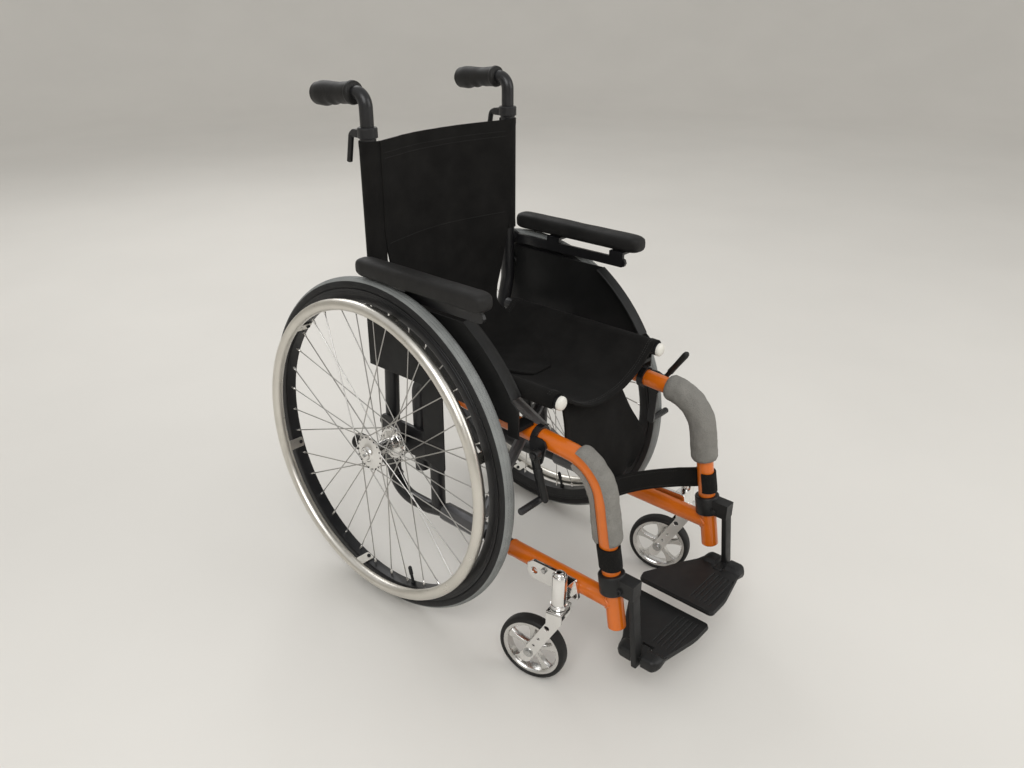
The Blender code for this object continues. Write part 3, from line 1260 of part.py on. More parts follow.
def hanger_y(z):
    """Place of the leaning hanger bar at height z."""
    return HANGER_Y + HANGER_LEAN * (z - CLAMP_LOW_Z)


def hanger_mesh(top):
    """Clamp on the post with its head and bolt, and the flat hanger bar with the hinge lug."""
    low = Vector((SIDE_U, post_y(CLAMP_LOW_Z), CLAMP_LOW_Z))
    high = Vector((SIDE_U, post_y(CLAMP_HIGH_Z), CLAMP_HIGH_Z))
    clamp = rod(low, high, CLAMP_R, PAINTED_SIDES)
    hole = rod(low + (low - high), high + (high - low), FRAME_R + GAP, PAINTED_SIDES)
    front = hanger_y(CLAMP_HIGH_Z) - HANGER_HALF_THICK - HEAD_PROUD
    head = box(
        (HANGER_U - HEAD_HALF_WIDTH, front, CLAMP_LOW_Z + 0.005),
        (HANGER_U + HEAD_HALF_WIDTH, post_y(CLAMP_LOW_Z), CLAMP_HIGH_Z),
    )
    width, thick, chamfer = HANGER_HALF_WIDTH, HANGER_HALF_THICK, 0.0020
    corner = [(width - chamfer, thick), (width, thick - chamfer)]
    half = corner[::-1] + [(-a, b) for a, b in corner]
    section = half + [(-a, -b) for a, b in half]
    block_low = top - LOBE_DROP
    ends = (CLAMP_HIGH_Z - 0.002, block_low)
    bar = skin([[(HANGER_U + a, hanger_y(z) + b, z) for a, b in section] for z in ends])
    z = hinge_z(top)
    u = FOOTPLATE_HINGE_U
    front, rear = hanger_y(z) - HINGE_LUG_HALF, hanger_y(z) + HINGE_LUG_HALF
    lug = rod((u, front, z), (u, rear, z), HINGE_LUG_R, 8)
    web = box((u, front, z - HINGE_LUG_R * 0.9), (HANGER_U, rear, z + HINGE_LUG_R * 0.9))
    pin_hole = rod((u, front - 0.01, z), (u, rear + 0.01, z), loose(HINGE_PIN_R, 8), 8)
    bolt_z = (CLAMP_LOW_Z + CLAMP_HIGH_Z) / 2 - 0.004
    reach = HEAD_HALF_WIDTH + 0.0035
    bolt = rod((HANGER_U - reach, CLAMP_BOLT_Y, bolt_z), (HANGER_U + reach, CLAMP_BOLT_Y, bolt_z), CLAMP_BOLT_R, 6)
    return fused(clamp, [head, bar, lug, web, bolt], [hole, pin_hole])


def footplate_outline():
    """Plan of the footplate: slanted front and rear edges, and rounded corners."""
    outer = LOBE_OUT_U - 0.002
    corners = [
        (outer, -0.4900, 0),
        (outer, LOBE_REAR_Y - 0.003, 0),
        (0.112, FOOTPLATE_REAR_Y - 0.0500, 0),
        (0.085, FOOTPLATE_REAR_Y - 0.0340, 0),
        (0.018, FOOTPLATE_REAR_Y, 0),
        (FOOTPLATE_INNER_U, FOOTPLATE_REAR_Y - 0.0040, 0),
        (FOOTPLATE_INNER_U, FOOTPLATE_FRONT_Y, 0),
        (0.045, FOOTPLATE_FRONT_Y, 0),
        (0.126, FOOTPLATE_FRONT_Y + 0.0165, 0),
        (outer, FOOTPLATE_FRONT_Y + 0.0340, 0),
        (outer, -0.4900, 0),
    ]
    path = bent(corners, [0.006, 0.020, 0.040, 0.012, 0.010, 0.008, 0.060, 0.012, 0.008], 40)
    return [(p.x, p.y) for p in path[:-1]]


def lobe_mesh(top, near_y, far_y):
    """Raised end of the footplate beside the hanger bar, from its slot side to its rounded far side."""
    rings = []
    for share, inset in ((0.0, 0.0), (0.55, 0.0), (0.85, 0.0035), (1.0, 0.0100)):
        y = near_y + (far_y - near_y) * share
        out = LOBE_OUT_U - inset
        low, high = top - LOBE_DROP, top + LOBE_RISE - inset * 0.6
        ring = [(out - 0.004, low), (out, low + 0.005), (out, high - 0.006), (out - 0.006, high)]
        ring += [(0.121, high), (0.110, top - 0.001), (0.104, top - 0.002), (0.104, low + 0.007)]
        rings.append([(u, y, z) for u, z in ring])
    return skin(rings)


def footplate_mesh(top):
    """Footplate with ribs along its front edge, and the two lobes that hold the hinge pin."""
    low = top - FOOTPLATE_THICK
    deck = slab(footplate_outline(), low, top)
    z = hinge_z(top)
    u = FOOTPLATE_HINGE_U
    slot_front = hanger_y(z) - HINGE_LUG_HALF - HINGE_SIDE_GAP
    slot_rear = hanger_y(z) + HINGE_LUG_HALF + HINGE_SIDE_GAP
    lobes = [lobe_mesh(top, slot_front - 0.0005, LOBE_FRONT_Y), lobe_mesh(top, slot_rear + 0.0005, LOBE_REAR_Y)]
    pin = rod((u, slot_front - 0.004, z), (u, slot_rear + 0.004, z), HINGE_PIN_R, 8)
    reach = HINGE_LUG_R + 0.0015
    slot = box((u - reach, slot_front, low - 0.02), (LOBE_OUT_U + 0.01, slot_rear, top + 0.02))
    grooves = []
    for k in range(FOOTPLATE_GROOVES):
        y = FOOTPLATE_FRONT_Y + 0.0120 + GROOVE_PITCH * k
        grooves.append(box((FOOTPLATE_INNER_U + 0.014, y, top - 0.0015), (0.094, y + 0.0035, top + 0.01)))
    solid = fused(deck, lobes, [slot, *grooves])
    return fused(solid, [pin])


def build_footrests(chair, finish):
    """Both footrests, with the plates at different heights."""
    for side, sign in SIDES.items():
        top = FOOTPLATE_TOP_Z[side]
        origin = (FOOTPLATE_HINGE_U, hanger_y(hinge_z(top)), hinge_z(top))
        hanger_origin = (SIDE_U, post_y(CLAMP_LOW_Z), CLAMP_LOW_Z)
        emit(f"footrest_hanger_{side}", hanger_mesh(top), finish["plastic"], chair, hanger_origin, sign < 0)
        emit(f"footplate_{side}", footplate_mesh(top), finish["plastic"], chair, origin, sign < 0)


def strap_mesh():
    """Calf strap looped round both posts and hanging slack behind the legs."""
    ring = (FRAME_R + GAP) / math.cos(math.radians(20)) + STRAP_THICK / 2
    centre_y = post_y(STRAP_Z)
    loop = [
        (SIDE_U + ring * math.cos(math.radians(a)), centre_y + ring * math.sin(math.radians(a)))
        for a in [39 * i - 176 for i in range(8)]
    ]
    span = [0.118 - 0.0236 * i for i in range(6)]
    slack = [(x, STRAP_BACK_Y + (centre_y + ring - STRAP_BACK_Y) * (x / SIDE_U) ** STRAP_POWER) for x in span]
    half = loop + slack
    line = half + [(-x, y) for x, y in reversed(half[:-1])]
    rows = []
    for z in (STRAP_Z - STRAP_HEIGHT / 2, STRAP_Z + STRAP_HEIGHT / 2):
        rows.append([(x, y + POST_LEAN * (z - STRAP_Z), z) for x, y in line])
    return cloth(rows, STRAP_THICK)


def finishes():
    """Every finish of the chair by name."""
    return {
        "orange": Finish("orange_paint", (0.78, 0.20, 0.015), 0.28),
        "black_metal": Finish("black_metal", (0.02, 0.02, 0.022), 0.40),
        "grey_metal": Finish("grey_metal", (0.32, 0.32, 0.33), 0.35, 0.9),
        "silver": Finish("silver_anodised", (0.74, 0.71, 0.64), 0.30, 1.0),
        "polished": Finish("polished_metal", (0.80, 0.79, 0.76), 0.14, 1.0),
        "tyre": Finish("grey_tyre", (0.30, 0.31, 0.31), 0.75),
        "rubber": Finish("black_rubber", (0.025, 0.025, 0.026), 0.62),
        "plastic": Finish("black_plastic", (0.022, 0.022, 0.024), 0.45),
        "foam": Finish("grey_foam", (0.30, 0.30, 0.29), 0.90),
        "white": Finish("white_plastic", (0.80, 0.79, 0.75), 0.35),
        "cloth": Finish("black_cloth", (0.028, 0.027, 0.026), 0.85),
    }


def main():
    """Clears the scene and builds the chair."""
    for leftover in list(bpy.data.objects):
        bpy.data.objects.remove(leftover)
    chair = empty("chair", (0, CHAIR_Y, 0))
    finish = finishes()
    build_wheels(chair, finish)
    build_castors(chair, finish)
    build_frames(chair, finish)
    build_seat(chair, finish)
    build_back_and_arms(chair, finish)
    build_brakes(chair, finish)
    build_footrests(chair, finish)
    emit("calf_strap", strap_mesh(), finish["cloth"], chair, (0, post_y(STRAP_Z), STRAP_Z))


main()
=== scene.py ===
"""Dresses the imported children's folding wheelchair with its finishes, smooth parts and soft goods.

Metres, +Z up, front towards -Y. Paired pieces are shaped once on the left side, where x grows
outboard, in the chair's own frame with the wheel axle at y = 0, and are mirrored for the right side.
"""

import functools
import json
import logging
from dataclasses import dataclass
from enum import Enum
from math import asin, atan2, copysign, cos, degrees, exp, pi, radians, sin, sqrt, tan
from typing import Sequence

import bmesh
import bpy
from mathutils import Matrix, Vector, noise


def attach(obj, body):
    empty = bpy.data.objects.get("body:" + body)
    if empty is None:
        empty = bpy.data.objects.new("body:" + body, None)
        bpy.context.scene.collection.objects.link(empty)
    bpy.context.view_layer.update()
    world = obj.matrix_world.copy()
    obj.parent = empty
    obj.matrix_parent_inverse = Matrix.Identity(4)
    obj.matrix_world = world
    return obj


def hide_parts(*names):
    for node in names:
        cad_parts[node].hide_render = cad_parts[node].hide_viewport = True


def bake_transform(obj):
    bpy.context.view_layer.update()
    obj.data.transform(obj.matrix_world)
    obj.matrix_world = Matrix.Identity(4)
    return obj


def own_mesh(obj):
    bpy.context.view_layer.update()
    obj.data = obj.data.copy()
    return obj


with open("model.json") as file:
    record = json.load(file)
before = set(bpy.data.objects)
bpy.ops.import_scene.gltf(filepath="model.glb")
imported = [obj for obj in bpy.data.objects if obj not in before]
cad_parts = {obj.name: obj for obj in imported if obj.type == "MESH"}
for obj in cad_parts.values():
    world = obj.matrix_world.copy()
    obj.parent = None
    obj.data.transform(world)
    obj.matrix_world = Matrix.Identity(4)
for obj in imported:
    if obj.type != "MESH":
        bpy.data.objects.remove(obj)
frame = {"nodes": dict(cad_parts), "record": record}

LOG = logging.getLogger("wheelchair")
CHAIR_Y = 0.12075
GAP = 0.0003
SHARP_DEG = 38.0
STITCH_PITCH = 0.0042
Pair = tuple[float, float]
Triple = tuple[float, float, float]
Grid = Sequence[Sequence[Vector]]
Mesh = bpy.types.Mesh
Piece = bpy.types.Object
Socket = bpy.types.NodeSocket


class Side(Enum):
    """Which side of the occupant a piece is on."""

    RIGHT = -1
    LEFT = 1

    @property
    def word(self) -> str:
        """The side's name as the frame's nodes spell it."""
        return self.name.lower()


# Places that several sub-assemblies share


@dataclass(frozen=True)
class Layout:
    """Shared places of the chair, in the chair's own frame."""

    side_u: float = 0.14
    frame_r: float = 0.014
    rear_r: float = 0.0125
    half_track: float = 0.203
    axle_z: float = 0.29483
    camber: float = radians(2.0)
    wheel_r: float = 0.295
    tyre_section_r: float = 0.0125
    back_u: float = 0.158
    back_y: float = 0.036
    back_top_z: float = 0.813
    clamp_y: float = 0.0588
    rail_u: float = 0.131
    rail_z: float = 0.461
    front_corner_y: float = -0.4047
    front_bend_r: float = 0.067
    post_lean: float = 0.176
    lower_z: float = 0.172
    top_joint_y: float = -0.12
    top_joint_z: float = 0.411
    top_slope: float = 0.0636
    lower_joint_y: float = -0.24
    stub_bottom_z: float = 0.13
    arm_pivot_z: float = 0.57796

    def top_z(self, y: float) -> float:
        """Height of the side frame's top tube at y."""
        return self.top_joint_z + self.top_slope * (y - self.top_joint_y)

    def post_y(self, z: float) -> float:
        """Place of the leaning front post at height z."""
        return self.front_corner_y - self.post_lean * (self.top_z(self.front_corner_y) - z)

    def front_path(self, start_y: float, end_z: float, step_deg: float = 4.0) -> list[Vector]:
        """Centre line of the bent front tube.

        Args:
            start_y: Where the line starts on the top tube.
            end_z: Where it ends on the post.
            step_deg: How finely the bend is cut.

        Returns:
            The points of the line.
        """
        corner = (self.side_u, self.front_corner_y, self.top_z(self.front_corner_y))
        start = (self.side_u, start_y, self.top_z(start_y))
        return bent([start, corner, (self.side_u, self.post_y(end_z), end_z)], self.front_bend_r, step_deg)

    def wheel_frame(self) -> Matrix:
        """The cambered frame of the left wheel, X along its axle."""
        return Matrix.Translation((self.half_track, 0, self.axle_z)) @ Matrix.Rotation(-self.camber, 4, "Y")


PLAN = Layout()


# Mesh helpers


def circle(radius: float, sides: int, phase: float = 0.0) -> list[Pair]:
    """Points of a circle, the first at the phase angle in radians."""
    step = 2 * pi / sides
    return [(radius * cos(phase + i * step), radius * sin(phase + i * step)) for i in range(sides)]


def arc(centre: Pair, radius: float, start_deg: float, end_deg: float, steps: int) -> list[Pair]:
    """Points of an arc, both ends included."""
    angles = [radians(start_deg + (end_deg - start_deg) * i / steps) for i in range(steps + 1)]
    return [(centre[0] + radius * cos(a), centre[1] + radius * sin(a)) for a in angles]


def bent(corners: Sequence, radii: float | Sequence[float], step_deg: float = 6.0) -> list[Vector]:
    """Rounds the inner corners of a line.

    Args:
        corners: The corner points.
        radii: One bend radius for all inner corners, or one for each.
        step_deg: How finely each bend is cut.

    Returns:
        The points of the rounded line.
    """
    points = [Vector(corner) for corner in corners]
    sizes = list(radii) if isinstance(radii, (list, tuple)) else [radii] * (len(points) - 2)
    path = [points[0]]
    for before, corner, after, radius in zip(points, points[1:], points[2:], sizes):
        back, ahead = (before - corner).normalized(), (after - corner).normalized()
        half = back.angle(ahead) / 2
        turn = pi - 2 * half
        middle = corner + (back + ahead).normalized() * radius / sin(half)
        start = corner + back * radius / tan(half) - middle
        axis = start.cross(corner + ahead * radius / tan(half) - middle).normalized()
        steps = max(1, round(degrees(turn) / step_deg))
        path += [middle + Matrix.Rotation(turn * i / steps, 3, axis) @ start for i in range(steps + 1)]
    return path + [points[-1]]


def skin(rings: Grid, loop: bool = False, columns: Sequence[int] | None = None, caps: bool = True) -> Mesh:
    """Joins rings of equal count by quads whose UVs are in metres.

    Args:
        rings: The rings, in order along the piece.
        loop: Whether the last ring joins the first.
        columns: The finish number of each column of quads.
        caps: Whether the ends are closed.

    Returns:
        One mesh with its faces pointing out.
    """
    rings = [[Vector(point) for point in ring] for ring in rings]
    bm = bmesh.new()
    uv = bm.loops.layers.uv.new("metres")
    rows = [[bm.verts.new(point) for point in ring] for ring in rings]
    count = len(rings[0])
    widest = max(rings, key=lambda ring: sum((a - b).length for a, b in zip(ring, ring[1:])))
    around = [0.0]
    for j in range(count):
        around.append(around[-1] + (widest[(j + 1) % count] - widest[j]).length)
    steps = list(zip(range(len(rings)), range(1, len(rings)))) + ([(len(rings) - 1, 0)] if loop else [])
    along = 0.0
    for low, high in steps:
        ahead = along + sum((a - b).length for a, b in zip(rings[low], rings[high])) / count
        for j in range(count):
            k = (j + 1) % count
            face = bm.faces.new((rows[low][j], rows[low][k], rows[high][k], rows[high][j]))
            face.material_index = columns[j] if columns else 0
            places = ((around[j], along), (around[j + 1], along), (around[j + 1], ahead), (around[j], ahead))
            for corner, place in zip(face.loops, places):
                corner[uv].uv = place
        along = ahead
    if caps and not loop:
        for row in (rows[0], rows[-1]):
            bm.faces.new(row)
    bmesh.ops.recalc_face_normals(bm, faces=bm.faces)
    return finished(bm)


def finished(bm: bmesh.types.BMesh) -> Mesh:
    """Turns a bmesh into a mesh and frees it.

    Args:
        bm: The bmesh.

    Returns:
        The mesh.
    """
    mesh = bpy.data.meshes.new("shape")
    bm.to_mesh(mesh)
    bm.free()
    return mesh


def sweep(path: Sequence, section: Sequence[Pair], side: Triple = (1, 0, 0), loop: bool = False) -> Mesh:
    """Carries a section along a path.

    Args:
        path: The points of the path.
        section: The points of the section.
        side: Where its first axis points.
        loop: Whether the path is closed.

    Returns:
        The mesh.
    """
    points = [Vector(point) for point in path]
    rings = []
    for i, point in enumerate(points):
        before = points[i - 1] if loop or i else points[0]
        after = points[(i + 1) % len(points)] if loop else points[min(i + 1, len(points) - 1)]
        along = ((after - point).normalized() + (point - before).normalized()).normalized()
        across = (Vector(side) - along * along.dot(Vector(side))).normalized()
        other = along.cross(across)
        rings.append([point + across * a + other * b for a, b in section])
    return skin(rings, loop)


def tube(path: Sequence, radius: float, sides: int = 28, side: Triple = (1, 0, 0), loop: bool = False) -> Mesh:
    """A round bar along a path."""
    return sweep(path, circle(radius, sides), side, loop)


def turned(start: Sequence, end: Sequence, stations: Sequence[Pair], sides: int = 36) -> Mesh:
    """A turned piece.

    Args:
        start: One end of its axis.
        end: The other end.
        stations: Shares of the way from start to end, each with its radius.
        sides: How many sides it has.

    Returns:
        The mesh.
    """
    first, last = Vector(start), Vector(end)
    along = (last - first).normalized()
    helper = Vector((0, 0, 1)) if abs(along.z) < 0.9 else Vector((0, 1, 0))
    across = along.cross(helper).normalized()
    other = along.cross(across)
    rings = []
    for share, radius in stations:
        middle = first.lerp(last, share)
        rings.append([middle + across * a + other * b for a, b in circle(max(radius, 1e-5), sides)])
    return skin(rings)


def rod(start: Sequence, end: Sequence, radius: float, sides: int = 28) -> Mesh:
    """A round bar between two points, its ends broken by a small chamfer.

    Args:
        start: One end.
        end: The other end.
        radius: Its radius.
        sides: How many sides it has.

    Returns:
        The mesh.
    """
    soft = min(0.0008, radius * 0.3)
    share = soft / max((Vector(end) - Vector(start)).length, 1e-6)
    return turned(start, end, [(0, radius - soft), (share, radius), (1 - share, radius), (1, radius - soft)], sides)


def revolved(profile: Sequence[Pair], steps: int, columns: Sequence[int] | None = None) -> Mesh:
    """A ring about the X axis from a closed profile.

    Args:
        profile: Its (w, radius) points.
        steps: How many sections it has.
        columns: The finish number of each side of the profile.

    Returns:
        The mesh.
    """
    turns = [2 * pi * i / steps for i in range(steps)]
    rings = [[Vector((w, r * cos(t), r * sin(t))) for w, r in profile] for t in turns]
    return skin(rings, True, columns)


def stamped(outline: Sequence[Pair], holes: Sequence[Sequence[Pair]], low: float, high: float, edge: float) -> Mesh:
    """A plate with holes and rounded edges, flat across X.

    Args:
        outline: The (y, z) points of its edge.
        holes: The (y, z) points of each hole.
        low: Its inner face along X.
        high: Its outer face along X.
        edge: Radius of the rounded edges.

    Returns:
        The plate's mesh.
    """
    curve = bpy.data.curves.new("outline", "CURVE")
    curve.dimensions = "2D"
    curve.fill_mode = "BOTH"
    curve.extrude = (high - low) / 2 - edge
    curve.bevel_depth = edge
    curve.bevel_resolution = 2
    curve.offset = -edge
    for ring in (outline, *holes):
        spline = curve.splines.new("POLY")
        spline.points.add(len(ring) - 1)
        spline.use_cyclic_u = True
        for point, (a, b) in zip(spline.points, ring):
            point.co = (a, b, 0, 1)
    helper = bpy.data.objects.new("outline", curve)
    bpy.context.scene.collection.objects.link(helper)
    graph = bpy.context.evaluated_depsgraph_get()
    graph.update()
    mesh = bpy.data.meshes.new_from_object(helper.evaluated_get(graph))
    bpy.data.objects.remove(helper)
    return moved(mesh, Matrix(((0, 0, 1, (low + high) / 2), (1, 0, 0, 0), (0, 1, 0, 0), (0, 0, 0, 1))))


def hexagon(centre: Triple, radius: float, length: float, way: Triple = (1, 0, 0)) -> Mesh:
    """A bolt head with six flats and a domed face.

    Args:
        centre: The middle of its foot.
        radius: Its radius over the corners.
        length: Its height.
        way: Unit vector along its axis.

    Returns:
        The mesh.
    """
    start = Vector(centre)
    stations = [(0, radius), (0.75, radius), (1.0, radius * 0.82)]
    return turned(start, start + Vector(way) * length, stations, 6)


def merged(*meshes: Mesh, slots: Sequence[int] | None = None) -> Mesh:
    """Puts several meshes into one, without joining their skins.

    Args:
        meshes: The meshes.
        slots: The finish number of each mesh, or None to keep what their faces say.

    Returns:
        One mesh.
    """
    bm = bmesh.new()
    for index, mesh in enumerate(meshes):
        first = len(bm.faces)
        bm.from_mesh(mesh)
        bm.faces.ensure_lookup_table()
        if slots:
            for face in bm.faces[first:]:
                face.material_index = slots[index]
    return finished(bm)


def block(low: Triple, high: Triple) -> Mesh:
    """A box between two corners."""
    plan = [(low[0], low[1]), (high[0], low[1]), (high[0], high[1]), (low[0], high[1])]
    return skin([[(x, y, z) for x, y in plan] for z in (low[2], high[2])])


def rounded(wide: float, deep: float, radius: float) -> list[Pair]:
    """Outline of a rectangle with rounded corners.

    Args:
        wide: Half its width.
        deep: Half its depth.
        radius: Radius of its corners.

    Returns:
        The outline.
    """
    made = []
    for k, (x, y) in enumerate(((1, 1), (-1, 1), (-1, -1), (1, -1))):
        made += arc((x * (wide - radius), y * (deep - radius)), radius, 90 * k, 90 * k + 90, 4)
    return made


def shrunk(outline: Sequence[Pair], inset: float) -> list[Pair]:
    """An outline drawn in evenly, whichever way it runs.

    Args:
        outline: Its points.
        inset: How far it is drawn in.

    Returns:
        The smaller outline.
    """
    points = [Vector(point) for point in outline]
    turn = copysign(1, sum(a.x * b.y - b.x * a.y for a, b in zip(points, points[1:] + points[:1])))
    made = []
    for before, point, after in zip(points[-1:] + points[:-1], points, points[1:] + points[:1]):
        along = (after - before).normalized() * turn
        made.append((point.x - along.y * inset, point.y + along.x * inset))
    return made


def moved(mesh: Mesh, matrix: Matrix) -> Mesh:
    """The mesh moved by a matrix."""
    mesh.transform(matrix)
    return mesh


def refined(grid: Grid, rows: int, columns: int) -> Grid:
    """Draws a fine grid smoothly through a coarse one.

    Args:
        grid: The coarse points.
        rows: Steps between two coarse rows.
        columns: Steps between two coarse columns.

    Returns:
        The fine grid, which passes through every coarse point.
    """

    def through(line: Sequence[Vector], steps: int) -> list[Vector]:
        """A smooth line through points, with even steps between each two.

        Args:
            line: The points.
            steps: Steps between two points.

        Returns:
            The points of the smooth line.
        """
        made = []
        for i in range(len(line) - 1):
            a, b, c, d = line[max(i - 1, 0)], line[i], line[i + 1], line[min(i + 2, len(line) - 1)]
            for k in range(steps):
                t = k / steps
                made.append(
                    (b * 2 + (c - a) * t + (a * 2 - b * 5 + c * 4 - d) * t**2 + (b * 3 - a - c * 3 + d) * t**3) / 2
                )
        return made + [line[-1]]

    wide = [through([Vector(point) for point in row], columns) for row in grid]
    lines = [through(list(column), rows) for column in zip(*wide)]
    return [list(row) for row in zip(*lines)]


def crumpled(grid: Grid, depth: float, size: float, seed: float, still: float = 0.0) -> Grid:
    """Pushes a grid of cloth in and out by soft noise.

    Args:
        grid: The cloth's points.
        depth: The largest push.
        size: The width of one wrinkle.
        seed: Shifts the pattern.
        still: Share of the width at each side that stays in place.

    Returns:
        The wrinkled grid.
    """
    rows, columns = len(grid), len(grid[0])
    made = []
    for i in range(rows):
        line = []
        for j in range(columns):
            down = grid[min(i + 1, rows - 1)][j] - grid[max(i - 1, 0)][j]
            across = grid[i][min(j + 1, columns - 1)] - grid[i][max(j - 1, 0)]
            share = min(j, columns - 1 - j) / max(columns - 1, 1)
            ease = min(1.0, share / still) if still else 1.0
            push = noise.noise(grid[i][j] / size + Vector((seed, seed * 0.7, 0))) * depth * ease
            line.append(grid[i][j] + down.cross(across).normalized() * push)
        made.append(line)
    return made


def cloth(grid: Grid, thickness: float, hem: float = 0.0, proud: float = 0.0006) -> Mesh:
    """A closed sheet about a grid of points, with thicker hems along its four edges.

    Args:
        grid: The middle surface.
        thickness: The cloth's thickness.
        hem: Width of the hems, or 0 for none.
        proud: How far a hem stands above the cloth on each face.

    Returns:
        The sheet, with its UVs in metres.
    """
    bm = bmesh.new()
    uv = bm.loops.layers.uv.new("metres")
    rows, columns = len(grid), len(grid[0])
    points = [[Vector(point) for point in row] for row in grid]
    across = [[0.0] for _ in range(rows)]
    for i in range(rows):
        for j in range(1, columns):
            across[i].append(across[i][-1] + (points[i][j] - points[i][j - 1]).length)
    down = [[0.0] * columns]
    for i in range(1, rows):
        down.append([down[-1][j] + (points[i][j] - points[i - 1][j]).length for j in range(columns)])
    faces = []
    for push in (0.5, -0.5):
        layer = []
        for i in range(rows):
            row = []
            for j in range(columns):
                fall = points[min(i + 1, rows - 1)][j] - points[max(i - 1, 0)][j]
                wide = points[i][min(j + 1, columns - 1)] - points[i][max(j - 1, 0)]
                near = min(across[i][j], across[i][-1] - across[i][j], down[i][j], down[-1][j] - down[i][j])
                extra = 2 * proud * max(0.0, min(1.0, (hem - near) / 0.0015 + 0.5)) if hem else 0.0
                row.append(bm.verts.new(points[i][j] + fall.cross(wide).normalized() * push * (thickness + extra)))
            layer.append(row)
        faces.append(layer)
    front, back = faces
    for layer in faces:
        for i in range(rows - 1):
            for j in range(columns - 1):
                spots = ((i, j), (i, j + 1), (i + 1, j + 1), (i + 1, j))
                face = bm.faces.new([layer[a][b] for a, b in spots])
                for corner, (a, b) in zip(face.loops, spots):
                    corner[uv].uv = (across[a][b] - across[a][-1] / 2, down[a][b])
    rim = [(0, j) for j in range(columns)] + [(i, columns - 1) for i in range(1, rows)]
    rim += [(rows - 1, j) for j in range(columns - 2, -1, -1)] + [(i, 0) for i in range(rows - 2, 0, -1)]
    for (i, j), (k, m) in zip(rim, rim[1:] + rim[:1]):
        bm.faces.new((front[i][j], front[k][m], back[k][m], back[i][j]))
    bmesh.ops.recalc_face_normals(bm, faces=bm.faces)
    return finished(bm)


def stitched(grid: Grid, row: int, lift: float, margin: int) -> Mesh:
    """Raised stitches along one row of a cloth's grid.

    Args:
        grid: The cloth's points.
        row: The row.
        lift: How far they stand off the middle surface, negative on the back.
        margin: How many points stay free at each end.

    Returns:
        One mesh of small spindles.
    """
    rows, columns = len(grid), len(grid[0])

    def outwards(index: int) -> Vector:
        """The cloth's direction outwards at a point of the row.

        Args:
            index: The point, counted from the margin.

        Returns:
            The unit vector.
        """
        j = min(margin + index, columns - 2)
        fall = grid[min(row + 1, rows - 1)][j] - grid[max(row - 1, 0)][j]
        return fall.cross(grid[row][j + 1] - grid[row][j]).normalized() * (1 if lift > 0 else -1)

    line = [grid[row][j] + outwards(j - margin) * abs(lift) for j in range(margin, columns - margin)]
    bm = bmesh.new()
    travelled, wanted = 0.0, STITCH_PITCH / 2
    for i in range(len(line) - 1):
        step = (line[i + 1] - line[i]).length
        while step > 0 and travelled + step >= wanted:
            middle = line[i].lerp(line[i + 1], (wanted - travelled) / step)
            along = (line[i + 1] - line[i]).normalized() * STITCH_PITCH * 0.36
            out = outwards(i).normalized()
            wide = along.cross(out).normalized() * 0.0004
            tips = [bm.verts.new(middle - along), bm.verts.new(middle + along)]
            belt = [bm.verts.new(middle + shift) for shift in (wide, out * 0.00055, -wide, out * -0.0003)]
            for k in range(4):
                for tip in tips:
                    bm.faces.new((tip, belt[k], belt[(k + 1) % 4]))
            wanted += STITCH_PITCH
        travelled += step
    bmesh.ops.recalc_face_normals(bm, faces=bm.faces)
    return finished(bm)


# Finishes


